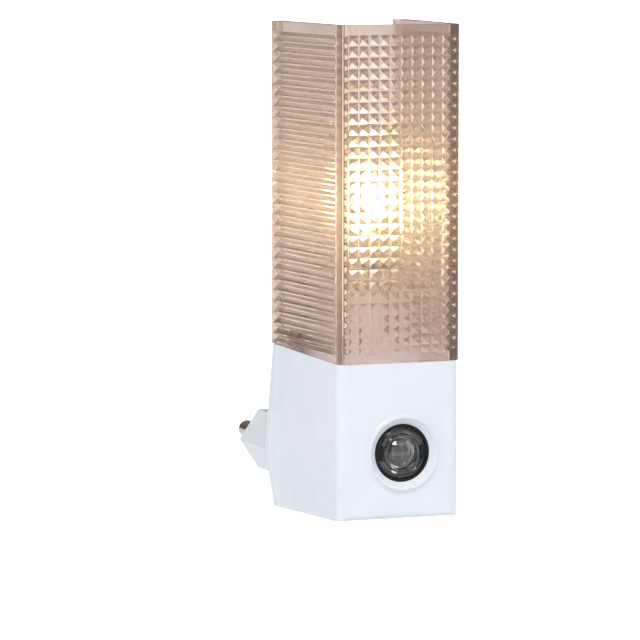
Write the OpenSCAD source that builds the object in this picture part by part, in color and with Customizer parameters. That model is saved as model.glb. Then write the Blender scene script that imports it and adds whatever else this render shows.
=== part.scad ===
// Plug-in night light with a dusk sensor.
// A white moulded housing carries a two-pin plug on its back, a light sensor in its
// front and a small screw-in lamp on top. A tinted prismatic shade stands round the
// lamp and lifts off upwards, and the lamp then unscrews from its holder.
//
// Millimetres. The origin is the middle of the plug nose's end face, between the pins.
// +Y runs along the pins into the wall, +X is to the right and +Z is up.

/* [Housing] */
// Width of the housing across its front face
housing_front_w = 28.8; // [27.6:0.2:30]
// Width of the housing where it meets the rear cover
housing_rear_w = 32.4; // [31.4:0.2:33.4]
// Depth from the front face to the back of the rear cover
body_depth = 36.5; // [35.5:0.5:40]
// Height of the front face's top edge above the pins
front_top = 22.8; // [22.4:0.2:25]
// How much higher the top edge is at the back
top_rise = 1.4; // [0.8:0.1:1.8]
// Depth of the front face's bottom edge below the pins
front_bottom = 12; // [11.6:0.2:14]
// How much lower the bottom edge is at the back
bottom_drop = 1.1; // [0.6:0.1:1.6]
// Thickness of the housing's walls
housing_wall = 1.8; // [1.5:0.1:2.1]
// Radius of the housing's two upright front corners
housing_corner_r = 2.5; // [2:0.1:3]
// Radius along the bottom edge of the front face
housing_foot_r = 1.5; // [1:0.1:2]

/* [Rear cover and plug] */
// Thickness of the rear cover's flange
flange_t = 2.4; // [2.2:0.1:2.8]
// Width of the flange across its two points, level with the pins
flange_point_w = 36.6; // [36.2:0.2:38]
// Width of the plug nose
nose_w = 35.3; // [34.9:0.1:35.7]
// Height of the plug nose
nose_h = 13.7; // [13.3:0.1:14.1]
// Width of the plug nose's flat top and bottom
nose_flat_w = 26.1; // [25.5:0.1:27]
// Length of the plug nose in front of the flange
nose_l = 18.5; // [18:0.5:20]
// Thickness of the plug nose's walls
nose_wall = 2; // [1.6:0.1:2.2]
// Thickness of the plug nose's end wall
nose_end_t = 3; // [2.6:0.1:3.6]
// Distance between the two pins
pin_pitch = 18.6; // [18:0.1:19.2]
// Diameter of the bare pin
pin_d = 4; // [3.94:0.02:4.06]
// How far the pins stand out of the nose
pin_reach = 19; // [18.5:0.5:19.5]
// Length of the insulating sleeve outside the nose
sleeve_reach = 10; // [9:0.5:11]
// Outer diameter of the insulating sleeve
sleeve_d = 3.6; // [3.4:0.02:3.8]
// Diameter of the pin's shank inside the sleeve
shank_d = 2.8; // [2.4:0.1:3]
// Diameter of the pin's collar behind the end wall
pin_collar_d = 6.4; // [5.6:0.2:7]
// Thickness of the plate that locks the pins in the nose
retainer_t = 2; // [1.6:0.1:2.4]

/* [Screws] */
// Shank diameter of the cover's self-tapping screws
screw_d = 2.2; // [2:0.1:2.4]
// Head diameter of the cover's screws
screw_head_d = 4; // [3.6:0.1:4.2]
// Head height of the cover's screws
screw_head_h = 1.4; // [1.2:0.1:1.6]
// Length of the cover screws below the head
screw_l = 8; // [7:0.5:9]

/* [Dusk sensor] */
// How far the sensor sits to the right of the housing's middle
sensor_x = 0.8; // [-1:0.1:1.5]
// Height of the sensor above the pins
sensor_z = 2.7; // [1.6:0.1:3.2]
// Diameter of the hole for the black sensor cup
sensor_hole_d = 13; // [12:0.2:13.4]
// Diameter of the raised collar's crest
collar_crest_d = 16.4; // [15.8:0.2:17]
// Diameter of the raised collar where it leaves the front face
collar_foot_d = 18.8; // [18.2:0.2:19.4]
// How far the collar stands out of the front face
collar_h = 0.8; // [0.5:0.1:1.2]
// Thickness of the clear lens disc
lens_t = 1; // [0.8:0.1:1.3]
// Diameter of the lens's domed middle
dome_d = 6.8; // [5.6:0.2:7.4]
// Height of the lens's dome
dome_h = 1.3; // [0.9:0.1:1.5]
// Height of the two notches in the lens
lens_notch_h = 3.4; // [2.8:0.2:4]
// Depth of the two notches in the lens
lens_notch_w = 1.5; // [1.1:0.1:1.9]
// Diameter of the light-dependent resistor
ldr_d = 5.1; // [4.3:0.1:6]

/* [Control board] */
// Distance from the front face to the board
board_setback = 9; // [8.6:0.2:10]
// Width of the board
board_w = 24; // [23:0.5:24.5]
// Height of the board
board_h = 19; // [18.4:0.2:19.4]
// Thickness of the board
board_t = 1.2; // [1:0.1:1.6]
// Diameter of the smoothing capacitor
capacitor_d = 6.3; // [5:0.1:6.6]
// Length of the smoothing capacitor
capacitor_l = 11; // [9:0.5:12]
// Diameter of the insulated leads
lead_d = 1.2; // [1:0.1:1.4]

/* [Lamp holder] */
// Distance from the front face to the lamp's axis
lamp_setback = 18.5; // [18:0.25:19]
// Outer diameter of the holder's barrel
holder_d = 19; // [18.6:0.2:19.6]
// Height of the holder's barrel
holder_h = 23.5; // [22.5:0.5:25]
// How far the holder's flange under the deck stands out of the barrel
holder_flange_w = 2; // [1.5:0.25:2.5]
// Thickness of the holder's flange
holder_flange_t = 2; // [1.6:0.1:2.4]
// Wall thickness of the screwed ring above the deck
ring_wall = 1.95; // [1.45:0.05:2.2]
// Height of the screwed ring
ring_h = 3; // [2.5:0.5:4]
// Thickness of the brass shell in the holder
shell_t = 0.4; // [0.3:0.1:0.5]
// Height of the brass shell
shell_h = 14; // [12:0.5:15]

/* [Lamp] */
// Diameter of the glass envelope
bulb_d = 16; // [15.8:0.1:18]
// Overall length of the lamp
bulb_l = 54; // [50:1:58]
// Diameter of the screw cap
cap_d = 13.6; // [13.4:0.1:13.8]
// Height of the screw cap's threaded part
cap_h = 15; // [14:0.5:16]
// Thickness of the glass
glass_t = 0.7; // [0.5:0.1:0.9]
// Height of the filament's middle above the lamp's end contact
filament_rise = 38; // [36:0.5:40]

/* [Shade] */
// Width of the shade across its front
shade_front_w = 29.2; // [28.8:0.2:30.4]
// Width of the shade across its open back
shade_rear_w = 33; // [32.4:0.2:34]
// Height of the shade at its front
shade_h = 74.9; // [70:0.1:80]
// Thickness of the shade's walls
shade_wall = 2.1; // [1.9:0.1:2.3]
// Radius of the shade's two upright front corners
shade_corner_r = 2; // [1.6:0.1:2.4]
// Width of the lips that turn inwards at the open back
shade_lip_w = 3.4; // [2.8:0.1:4]
// Thickness of the inward lips
shade_lip_t = 1.8; // [1.5:0.1:2.1]
// Height of the smooth rim at the top
top_rim_h = 2.1; // [1.6:0.1:3]
// Height of the smooth rim at the bottom
bottom_rim_h = 2.1; // [1.6:0.1:3]
// Pitch of the front's pits, both ways, and of the side walls' flutes
pit_pitch = 2.46; // [2.3:0.02:2.5]
// Depth of the front's pits
pit_depth = 0.9; // [0.6:0.05:1]
// Number of pits across the front
pit_columns = 10; // [8:2:10]
// Width of the flat land between two pits or flutes
pit_land = 0.25; // [0.15:0.05:0.35]
// Depth of the side walls' flutes
flute_depth = 0.5; // [0.3:0.05:0.7]
// Width of the two tongues that plug into the deck
tongue_w = 8; // [6:0.5:9]
// Thickness of the tongues
tongue_t = 1.2; // [1:0.1:1.4]
// How deep the tongues reach below the shade's edge
tongue_l = 3.2; // [2.6:0.2:3.4]

/* [Clearances] */
// Gap between the shade's edge and the housing
seam_gap = 0.15; // [0.1:0.05:0.3]
// Clearance round the shade's tongues
tongue_clear = 0.35; // [0.3:0.05:0.5]
// Radial clearance between pieces that push together
push_clear = 0.05; // [0.03:0.01:0.08]
// Clearance round the cover's locating rim
rim_clear = 0.15; // [0.1:0.05:0.25]
// Running clearance of the lamp's contact button in its insulator
button_clear = 0.05; // [0.03:0.01:0.08]
// Radial clearance of the lamp's cap in the holder's shell
cap_clear = 0.3; // [0.3:0.05:0.5]
// Gap between the lamp's contact and the holder's tongue
contact_gap = 0.2; // [0.1:0.05:0.3]

/* [Hidden] */

$fn = 64;
// A cut runs this far past the face it opens
over = 1;

// Planes along the depth
back_y = -nose_l;
split_y = back_y - flange_t;
front_y = back_y - body_depth;
front_inner_y = front_y + housing_wall;

// Housing heights
ceiling_z = front_top - housing_wall;
deck_slope = top_rise / body_depth;
foot_slope = bottom_drop / body_depth;
housing_taper = (housing_rear_w - housing_front_w) / 2 / (split_y - front_y);
corner_steps = 8;
// The flange's top corners stand out of the housing by this much, and its bottom ones stand in
flange_lean = 0.1;

// Lamp and holder heights
lamp_y = front_y + lamp_setback;
lamp_seat_z = ceiling_z;
holder_floor_t = 2.5;
holder_drop = 6.5;
holder_bottom_z = ceiling_z - holder_drop;
holder_floor_z = holder_bottom_z + holder_floor_t;
holder_top_z = holder_bottom_z + holder_h;
holder_flange_d = holder_d + 2 * holder_flange_w;
ring_d = holder_d + 2 * (push_clear + ring_wall);
deck_boss_margin = 0.5;
deck_boss_d = ring_d + 2 * deck_boss_margin;
deck_boss_step = 0.1;
deck_boss_z = seam_z(lamp_y + deck_boss_d / 2) + deck_boss_step;
ring_grips = 12;
ring_grip_d = 1.6;
shell_r = cap_d / 2 + cap_clear + shell_t;
shell_inset = 1;
shell_seat_w = 1.2;
shell_top_z = holder_top_z - shell_inset;
shell_bottom_z = shell_top_z - shell_h;
terminal_reach = 2.5;
terminal_z = holder_bottom_z - terminal_reach;
terminal_w = 2.4;
terminal_t = 0.4;
terminal_x = 5.4;

// Lamp
button_d = 5;
button_h = 1.2;
button_stem_d = 2.4;
button_edge = 0.8;
insulator_h = 3;
insulator_plug_h = 2;
cap_t = 0.4;
cap_bottom_z = lamp_seat_z + button_h + insulator_h;
cap_top_z = cap_bottom_z + cap_h;
skirt_h = 4.5;
skirt_straight_h = 3;
skirt_d = 16.6;
skirt_top_z = cap_top_z + skirt_h;
bulb_top_z = lamp_seat_z + bulb_l;
neck_r = skirt_d / 2 - cap_t - push_clear;
neck_h = 2.5;
neck_z = skirt_top_z - neck_h;
shoulder_h = 7;
filament_d = 0.6;
filament_half_w = 3.5;
filament_arch_h = 9;
filament_z = lamp_seat_z + filament_rise - filament_arch_h / 2;
support_h = 4;
stem_top_z = filament_z - support_h;
stem_tip_h = 1.3;
stem_r = 2;
stem_foot_r = 2.6;
support_d = 0.5;
support_root_x = 1.2;

// Shade
shade_top_z = front_top + shade_h;
shade_taper = (shade_rear_w - shade_front_w) / 2 / body_depth;
shade_side_angle = atan(shade_taper);
field_top_z = shade_top_z - top_rim_h;
field_bottom_z = front_top + bottom_rim_h;
// A last row lower than two lands is left out
field_rows = ceil((field_top_z - field_bottom_z - 2 * pit_land) / pit_pitch);
row_edges = [for (i = [0:field_rows]) max(field_top_z - i * pit_pitch, field_bottom_z)];
row_mouths = [
    for (i = [1:field_rows])
        [row_edges[i] + pit_land / 2, row_edges[i - 1] - pit_land / 2]
];
// The front's outermost columns run out in the rounded corners
edge_pit_w = 0.8;
edge_pit_depth = 0.4;
// The flutes start where the corner's rounding ends and stop short of the rear edge
flute_start = shade_corner_r + 0.1;
flute_end = 0.8;
hollow_corner_r = 0.8;
nub_r = 1;
nub_h = 0.3;
nub_lift = 0.8;
nub_y = front_y + 2.5;
tongue_setback = 8;
tongue_y = lamp_y + tongue_setback;
tongue_root_h = 4;

// Plug
pin_tip_r = 1.4;
collar_t = 1.5;
retainer_y = -nose_end_t - collar_t - retainer_t;
pin_tail_l = 2.5;
pin_tail_y = retainer_y - pin_tail_l;

// Cover screws
screw_pad_h = 1.6;
screw_inset = 1.4;
screw_drop = 3.6;
screw_recess = 0.2;
screw_hole_clear = 0.2;
screw_head_clear = 0.3;
cross_l = 2.6;
cross_w = 0.6;
cross_depth = 0.8;
screw_side_x = housing_rear_w / 2 - housing_wall - screw_inset;
screw_high_z = ceiling_z - screw_drop;
screw_low_z = -(front_bottom + bottom_drop - housing_wall) + screw_inset;
screw_places = [
    [-screw_side_x, screw_high_z],
    [screw_side_x, screw_high_z],
    [0, screw_low_z]
];
boss_d = 4.8;
boss_l = 8;
cover_rim_h = 2;
cover_rim_t = 1.2;

// Sensor
cup_d = sensor_hole_d - 2 * push_clear;
cup_flange_d = sensor_hole_d + 1.8;
cup_flange_t = 1;
cup_wall = 0.6;
cup_setback = 0.5;
cup_depth = 4.1;
cup_face_y = front_y + cup_setback;
cup_back_y = cup_face_y + cup_depth;
dish_depth = 0.6;
dish_rim = 0.2;
lens_d = cup_d - 2 * cup_wall - 2 * push_clear;
lens_setback = 0.4;
lens_back_y = cup_face_y + lens_t + lens_setback;
lens_step_d = dome_d + 1.8;
lens_step_h = 0.3;
key_setback = 0.3;
aperture_d = 4;
collar_steps = 8;
sensor_tube_t = 1;
ldr_t = 2.2;
ldr_gap = 0.2;
ldr_face_y = cup_back_y + ldr_gap;

// Control board
board_y = front_y + board_setback;
board_back_y = board_y + board_t;
board_lift = 0.8;
board_bottom_z = -(front_bottom - housing_wall) + board_lift;
board_mid_z = board_bottom_z + board_h / 2;
post_d = 3;
post_inset = 1.8;
post_x = board_w / 2 - post_inset;
post_z = board_h / 2 - post_inset;
board_screw_d = 1.6;
board_screw_head_d = 2.8;
board_screw_head_h = 1;
board_screw_l = 5;
board_screw_places = [[-post_x, board_mid_z - post_z], [post_x, board_mid_z + post_z]];
lead_steps = 16;
lead_stub = 0.3;
pin_lead_inset = 0.8;
pin_lead_drop = 4.5;
pin_lead_x = pin_pitch / 2 - pin_lead_inset;
pin_lead_z = board_mid_z - pin_lead_drop;
pin_lead_bend = 12;
holder_lead_x = 3.6;
holder_lead_inset = 1.6;
holder_lead_z = board_mid_z + board_h / 2 - holder_lead_inset;
holder_lead_bend = 5;
capacitor_lift = 4.4;
capacitor_z = board_bottom_z + capacitor_lift;
capacitor_leg_x = 2.5;
standoff = 0.4;
leg_d = 0.6;
// Legs are drawn with this many sides
leg_sides = 8;
// Distance between the legs of the triac and of the light sensor
leg_pitch = 1.3;
leg_bend = 1;
axial_pitch = 3;
axial_inset = 2.1;
axial_x = board_w / 2 - axial_inset;
resistor_d = 2.3;
resistor_l = 4.3;
resistor_lift = 4.1;
resistor_z = board_mid_z + resistor_lift;
diode_d = 2.6;
diode_l = 3.6;
diode_lift = 0.9;
diode_z = board_mid_z + diode_lift;
triac_d = 4.6;
triac_h = 4.8;
triac_lift = 0.8;
triac_z = board_mid_z + triac_lift;
triac_rise = 3;
triac_flat = 1.2;
triac_leg_z = triac_z + leg_d;

// Height of the seam between housing and shade at depth y
function seam_z(y) = front_top + deck_slope * (y - front_y);

// Depth of the housing's underside below the pins at depth y
function foot_z(y) = -front_bottom - foot_slope * (y - front_y);

// Half width of the housing at depth y
function housing_half_w(y) = housing_front_w / 2 + housing_taper * (y - front_y);

// Half width of the shade at depth y
function shade_half_w(y) = shade_front_w / 2 + shade_taper * (y - front_y);

function unit(v) = v / norm(v);

// Points of the arc that rounds corner p, between its neighbours a and b
function corner_arc(a, p, b, r) =
    let (u = unit(a - p))
    let (v = unit(b - p))
    let (half = acos(u * v) / 2)
    let (centre = p + unit(u + v) * r / sin(half))
    let (start = p + u * r / tan(half) - centre)
    let (end = p + v * r / tan(half) - centre)
    let (from = atan2(start.y, start.x))
    let (turn = atan2(end.y, end.x) - from)
    let (sweep = turn > 180 ? turn - 360 : turn < -180 ? turn + 360 : turn)
    [
        for (i = [0:corner_steps])
            let (t = from + sweep * i / corner_steps)
            centre + r * [cos(t), sin(t)]
    ];

// Outline in X and Y of a body that widens from y0 to y1 and has round front corners
function drafted_plan(half0, half1, y0, y1, r) = concat(
    [[half1, y1], [-half1, y1]],
    corner_arc([-half1, y1], [-half0, y0], [half0, y0], r),
    corner_arc([-half0, y0], [half0, y0], [half1, y1], r)
);

// Extrudes an outline drawn in Y and Z along X, centred on X = 0
module along_x(length) {
    translate([-length / 2, 0, 0])
        rotate([90, 0, 90])
            linear_extrude(length)
                children();
}

// Extrudes an outline drawn in X and Z along Y, from y0 to y1
module along_y(y0, y1) {
    translate([0, y1, 0])
        rotate([90, 0, 0])
            linear_extrude(y1 - y0)
                children();
}

// Turns an outline drawn as radius and depth into a solid round an axis along Y
module turned_y(x, z) {
    translate([x, 0, z])
        rotate([-90, 0, 0])
            rotate_extrude()
                children();
}

// Turns an outline drawn as radius and height into a solid round the lamp's axis
module turned_lamp() {
    translate([0, lamp_y, 0])
        rotate_extrude()
            children();
}

// A round bar along Y, from y0 to y1
module bar_y(x, z, d, y0, y1) {
    translate([x, y0, z])
        rotate([-90, 0, 0])
            cylinder(d = d, h = y1 - y0);
}

// Points of a smooth curve from a to d, which leaves a towards b and reaches d from c.
// A short straight stub at each end keeps its end faces square
function curve(a, b, c, d, n) =
    let (a1 = a + lead_stub * unit(b - a))
    let (d1 = d + lead_stub * unit(c - d))
    concat(
        [a],
        [
            for (i = [0:n])
                let (t = i / n)
                let (s = 1 - t)
                s * s * s * a1 + 3 * s * s * t * b + 3 * s * t * t * c + t * t * t * d1
        ],
        [d]
    );

// A wire along a list of points. No stretch of it may run along the flat vector
module wire(points, d, flat) {
    sides = 8;
    last = len(points) - 1;
    function along(i) = unit(points[min(i + 1, last)] - points[max(i - 1, 0)]);
    rings = [
        for (i = [0:last])
            let (n = unit(cross(along(i), flat)))
            let (b = cross(n, along(i)))
            [
                for (k = [0:sides - 1])
                    points[i] + d / 2 * (cos(k * 360 / sides) * n + sin(k * 360 / sides) * b)
            ]
    ];
    polyhedron(
        points = [for (ring = rings) for (p = ring) p],
        faces = concat(
            [[for (k = [sides - 1:-1:0]) k]],
            [[for (k = [0:sides - 1]) last * sides + k]],
            [
                for (i = [0:last - 1])
                    for (k = [0:sides - 1])
                        let (m = (k + 1) % sides)
                        [i * sides + k, i * sides + m, (i + 1) * sides + m, (i + 1) * sides + k]
            ]
        )
    );
}

// ---- Housing ----

// The housing's block, drawn inwards by the given wall, from the front back to y1
module housing_block(wall, top_z, y1) {
    y0 = front_y + wall;
    half0 = housing_half_w(y0) - wall;
    half1 = housing_half_w(y1) - wall;
    corner = max(housing_corner_r - wall, 0.5);
    foot = max(housing_foot_r - wall, 0.3);
    bottom0 = foot_z(y0) + wall;
    bottom1 = foot_z(y1) + wall;
    top0 = wall > 0 ? top_z : seam_z(y0);
    top1 = wall > 0 ? top_z : seam_z(y1);
    intersection() {
        translate([0, 0, bottom1 - over])
            linear_extrude(top1 - bottom1 + 2 * over)
                polygon(drafted_plan(half0, half1, y0, y1, corner));
        along_x(2 * half1 + 2 * over)
            polygon(concat(
                [[y1, bottom1], [y1, top1], [y0, top0]],
                corner_arc([y0, top0], [y0, bottom0], [y1, bottom1], foot)
            ));
    }
}

// Ring that stands out round the sensor, rounded outside and dished inside
module sensor_collar() {
    foot_r = collar_foot_d / 2;
    crest_r = collar_crest_d / 2;
    turned_y(sensor_x, sensor_z)
        polygon(concat(
            [
                for (i = [0:collar_steps])
                    let (a = 90 * i / collar_steps)
                    [crest_r + (foot_r - crest_r) * (1 - sin(a)), front_y - collar_h * (1 - cos(a))]
            ],
            [
                [crest_r, front_y - collar_h],
                [sensor_hole_d / 2, front_y - collar_h],
                [sensor_hole_d / 2, front_y + over / 2],
                [foot_r, front_y + over / 2]
            ]
        ));
}

// Cut for the sensor: a straight hole behind a dish
module sensor_cut() {
    dish_y = front_y + dish_depth;
    dish_r = collar_crest_d / 2 - dish_rim;
    hole_r = sensor_hole_d / 2;
    slope = (dish_r - hole_r) / (dish_y - front_y + collar_h);
    bar_y(sensor_x, sensor_z, sensor_hole_d, front_y - over, front_inner_y + over);
    turned_y(sensor_x, sensor_z)
        polygon([
            [0, front_y - collar_h - over],
            [dish_r + slope * over, front_y - collar_h - over],
            [hole_r, dish_y],
            [0, dish_y]
        ]);
}

module front_housing() {
    tube_d = cup_flange_d + 2 * push_clear;
    tube_y = cup_back_y - cup_wall;
    color("white") difference() {
        union() {
            difference() {
                housing_block(0, 0, split_y);
                housing_block(housing_wall, ceiling_z, split_y + over);
            }
            sensor_collar();
            difference() {
                bar_y(sensor_x, sensor_z, tube_d + 2 * sensor_tube_t, front_inner_y - over / 2, tube_y);
                bar_y(sensor_x, sensor_z, tube_d, front_inner_y, tube_y + over);
            }
            for (x = [-post_x, post_x])
                for (z = [-post_z, post_z])
                    bar_y(x, board_mid_z + z, post_d, front_inner_y - over / 2, board_y);
            for (p = screw_places)
                intersection() {
                    bar_y(p.x, p.y, boss_d, split_y - screw_pad_h - boss_l, split_y - screw_pad_h);
                    housing_block(0, 0, split_y);
                }
            translate([0, lamp_y, ceiling_z + over / 2])
                cylinder(d = deck_boss_d, h = deck_boss_z - ceiling_z - over / 2);
        }
        sensor_cut();
        translate([0, lamp_y, ceiling_z - over])
            cylinder(d = holder_d + 2 * push_clear, h = deck_boss_z - ceiling_z + 2 * over);
        for (side = [-1, 1])
            tongue_block(side, tongue_clear, ceiling_z - over, seam_z(back_y) + over);
        for (p = screw_places)
            bar_y(p.x, p.y, screw_d, split_y - screw_pad_h - boss_l + over, split_y);
        for (p = board_screw_places)
            bar_y(p.x, p.y, board_screw_d, board_back_y - board_screw_l - over, board_y + over);
    }
}

// ---- Rear cover with the plug nose ----

// Six-sided outline of the plug nose, drawn inwards by the given wall
module nose_outline(wall) {
    half_h = nose_h / 2 - wall;
    lean = (nose_w - nose_flat_w) / nose_h;
    side_wall = wall * sqrt(1 + lean * lean);
    point_x = nose_w / 2 - side_wall;
    flat_x = point_x - lean * half_h;
    polygon([
        [point_x, 0], [flat_x, half_h], [-flat_x, half_h],
        [-point_x, 0], [-flat_x, -half_h], [flat_x, -half_h]
    ]);
}

// Six-sided outline of the flange, with its points level with the pins
module flange_outline() {
    half_top = housing_half_w(split_y) + flange_lean;
    half_low = housing_half_w(split_y) - flange_lean;
    top_z = seam_z(split_y);
    low_z = foot_z(back_y);
    polygon([
        [flange_point_w / 2, 0], [half_top, top_z], [-half_top, top_z],
        [-flange_point_w / 2, 0], [-half_low, low_z], [half_low, low_z]
    ]);
}

module rear_cover() {
    rim_half_w = housing_half_w(split_y - cover_rim_h) - housing_wall - rim_clear;
    rim_top_z = ceiling_z - rim_clear;
    rim_low_z = foot_z(split_y - cover_rim_h) + housing_wall + rim_clear;
    seat_y = back_y - screw_recess - screw_head_h;
    color("whitesmoke") difference() {
        union() {
            along_y(split_y, back_y)
                flange_outline();
            along_y(back_y - over / 2, 0)
                nose_outline(0);
            difference() {
                translate([-rim_half_w, split_y - cover_rim_h, rim_low_z])
                    cube([2 * rim_half_w, cover_rim_h + over / 2, rim_top_z - rim_low_z]);
                translate([cover_rim_t - rim_half_w, split_y - cover_rim_h - over, rim_low_z + cover_rim_t])
                    cube([
                        2 * (rim_half_w - cover_rim_t),
                        cover_rim_h + over,
                        rim_top_z - rim_low_z - 2 * cover_rim_t
                    ]);
                for (p = screw_places)
                    bar_y(p.x, p.y, boss_d + 2 * rim_clear, split_y - cover_rim_h - over, split_y);
            }
            for (p = screw_places)
                intersection() {
                    bar_y(p.x, p.y, boss_d, split_y - screw_pad_h, split_y + over / 2);
                    translate([-rim_half_w, split_y - cover_rim_h, rim_low_z])
                        cube([2 * rim_half_w, body_depth, rim_top_z - rim_low_z]);
                }
        }
        along_y(split_y - over, -nose_end_t)
            nose_outline(nose_wall);
        for (x = [-pin_pitch / 2, pin_pitch / 2])
            bar_y(x, 0, sleeve_d + 2 * push_clear, -nose_end_t - over, over);
        for (p = screw_places) {
            bar_y(p.x, p.y, screw_d + 2 * screw_hole_clear, split_y - screw_pad_h - over, back_y + over);
            bar_y(p.x, p.y, screw_head_d + 2 * screw_head_clear, seat_y, back_y + over);
        }
    }
}

module cover_screws() {
    head_y = back_y - screw_recess;
    seat_y = head_y - screw_head_h;
    color("silver")
        for (p = screw_places)
            difference() {
                union() {
                    bar_y(p.x, p.y, screw_d - 2 * push_clear, seat_y - screw_l, head_y - cross_depth);
                    bar_y(p.x, p.y, screw_head_d, seat_y, head_y);
                }
                for (w = [[cross_l, cross_w], [cross_w, cross_l]])
                    translate([p.x - w.x / 2, head_y - cross_depth, p.y - w.y / 2])
                        cube([w.x, over, w.y]);
            }
}

module plug_pins() {
    shank_r = shank_d / 2;
    pin_r = pin_d / 2;
    color("lightgray")
        for (x = [-pin_pitch / 2, pin_pitch / 2])
            turned_y(x, 0)
                polygon(concat(
                    [
                        [0, pin_tail_y],
                        [shank_r, pin_tail_y],
                        [shank_r, -nose_end_t - collar_t],
                        [pin_collar_d / 2, -nose_end_t - collar_t],
                        [pin_collar_d / 2, -nose_end_t],
                        [shank_r, -nose_end_t],
                        [shank_r, sleeve_reach],
                        [pin_r, sleeve_reach]
                    ],
                    [
                        for (i = [0:corner_steps])
                            let (a = 90 * i / corner_steps)
                            [
                                pin_r - pin_tip_r * (1 - cos(a)),
                                pin_reach - pin_tip_r * (1 - sin(a))
                            ]
                    ],
                    [[0, pin_reach]]
                ));
}

module pin_sleeves() {
    color("dimgray")
        for (x = [-pin_pitch / 2, pin_pitch / 2])
            difference() {
                bar_y(x, 0, sleeve_d, -nose_end_t, sleeve_reach);
                bar_y(x, 0, shank_d + 2 * push_clear, -nose_end_t - over, sleeve_reach + over);
            }
}

module pin_retainer() {
    color("gainsboro") difference() {
        along_y(retainer_y, retainer_y + retainer_t)
            nose_outline(nose_wall + rim_clear);
        for (x = [-pin_pitch / 2, pin_pitch / 2])
            bar_y(x, 0, shank_d + 2 * push_clear, retainer_y - over, retainer_y + retainer_t + over);
    }
}

module pin_leads() {
    color("saddlebrown")
        for (side = [-1, 1])
            wire(curve(
                [side * pin_pitch / 2, pin_tail_y, 0],
                [side * pin_pitch / 2, pin_tail_y - pin_lead_bend, 0],
                [side * pin_lead_x, board_back_y + pin_lead_bend, pin_lead_z],
                [side * pin_lead_x, board_back_y, pin_lead_z],
                lead_steps
            ), lead_d, [0, 0, 1]);
}

// ---- Dusk sensor ----

module sensor_cup() {
    color("black") union() {
        difference() {
            union() {
                bar_y(sensor_x, sensor_z, cup_d, cup_face_y, cup_back_y);
                bar_y(sensor_x, sensor_z, cup_flange_d, front_inner_y, front_inner_y + cup_flange_t);
            }
            bar_y(sensor_x, sensor_z, cup_d - 2 * cup_wall, cup_face_y - over, lens_back_y);
            bar_y(sensor_x, sensor_z, aperture_d, cup_face_y, cup_back_y + over);
        }
        for (side = [-1, 1])
            intersection() {
                bar_y(
                    sensor_x, sensor_z, cup_d - cup_wall,
                    cup_face_y + key_setback, lens_back_y + cup_wall / 3
                );
                translate([
                    sensor_x + side * (lens_d / 2 - lens_notch_w / 2 + push_clear + cup_wall / 2) -
                        (lens_notch_w + cup_wall) / 2,
                    cup_face_y,
                    sensor_z - lens_notch_h / 2 + push_clear
                ])
                    cube([lens_notch_w + cup_wall, cup_back_y - cup_face_y, lens_notch_h - 2 * push_clear]);
            }
    }
}

module sensor_lens() {
    dome_r = (dome_d * dome_d / 4 + dome_h * dome_h) / (2 * dome_h);
    lens_face_y = lens_back_y - lens_t;
    color("lightcyan", 0.5) difference() {
        union() {
            bar_y(sensor_x, sensor_z, lens_d, lens_face_y, lens_back_y);
            bar_y(sensor_x, sensor_z, lens_step_d, lens_face_y - lens_step_h, lens_back_y);
            intersection() {
                translate([sensor_x, lens_face_y - dome_h + dome_r, sensor_z])
                    sphere(r = dome_r);
                bar_y(sensor_x, sensor_z, dome_d, lens_face_y - dome_h - over, lens_back_y);
            }
        }
        for (side = [-1, 1])
            translate([
                sensor_x + side * (lens_d / 2 - lens_notch_w / 2 + over / 2) - (lens_notch_w + over) / 2,
                lens_face_y - over,
                sensor_z - lens_notch_h / 2
            ])
                cube([lens_notch_w + over, lens_t + 2 * over, lens_notch_h]);
    }
}

module light_sensor() {
    color("orange") union() {
        bar_y(sensor_x, sensor_z, ldr_d, ldr_face_y, ldr_face_y + ldr_t);
        for (x = [-leg_pitch, leg_pitch])
            bar_y(sensor_x + x, sensor_z, leg_d, ldr_face_y + ldr_t / 2, board_y, $fn = leg_sides);
    }
}

// ---- Control board ----

module control_board() {
    color("burlywood") difference() {
        translate([-board_w / 2, board_y, board_bottom_z])
            cube([board_w, board_t, board_h]);
        for (p = board_screw_places)
            bar_y(p.x, p.y, board_screw_d + 2 * screw_hole_clear, board_y - over, board_back_y + over);
    }
}

module board_screws() {
    color("silver")
        for (p = board_screw_places)
            union() {
                bar_y(
                    p.x, p.y, board_screw_d - 2 * push_clear,
                    board_back_y - board_screw_l, board_back_y + board_screw_head_h / 2
                );
                bar_y(p.x, p.y, board_screw_head_d, board_back_y, board_back_y + board_screw_head_h);
            }
}

module capacitor() {
    color("midnightblue") union() {
        translate([-capacitor_l / 2, board_back_y + capacitor_d / 2 + standoff, capacitor_z])
            rotate([0, 90, 0])
                cylinder(d = capacitor_d, h = capacitor_l);
        for (x = [-capacitor_leg_x, capacitor_leg_x])
            bar_y(
                x, capacitor_z, leg_d,
                board_back_y, board_back_y + standoff + capacitor_d / 4, $fn = leg_sides
            );
    }
}

// A part with wire ends: a round body along Z that stands off the board on two legs
module axial_part(x, z, d, length) {
    y = board_back_y + standoff + d / 2;
    translate([x, y, z - length / 2])
        cylinder(d = d, h = length);
    for (end = [-1, 1]) {
        leg_z = z + end * (length / 2 + leg_bend);
        tip_z = leg_z + end * leg_d / 2;
        translate([x, y, min(z, tip_z)])
            cylinder(d = leg_d, h = abs(tip_z - z), $fn = leg_sides);
        bar_y(x, leg_z, leg_d, board_back_y, y, $fn = leg_sides);
    }
}

module resistors() {
    color("tan")
        for (x = [-axial_x, axial_pitch - axial_x])
            axial_part(x, resistor_z, resistor_d, resistor_l);
}

module rectifier_diodes() {
    color("dimgray")
        for (x = [axial_x, axial_x - axial_pitch])
            axial_part(x, diode_z, diode_d, diode_l);
}

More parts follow.
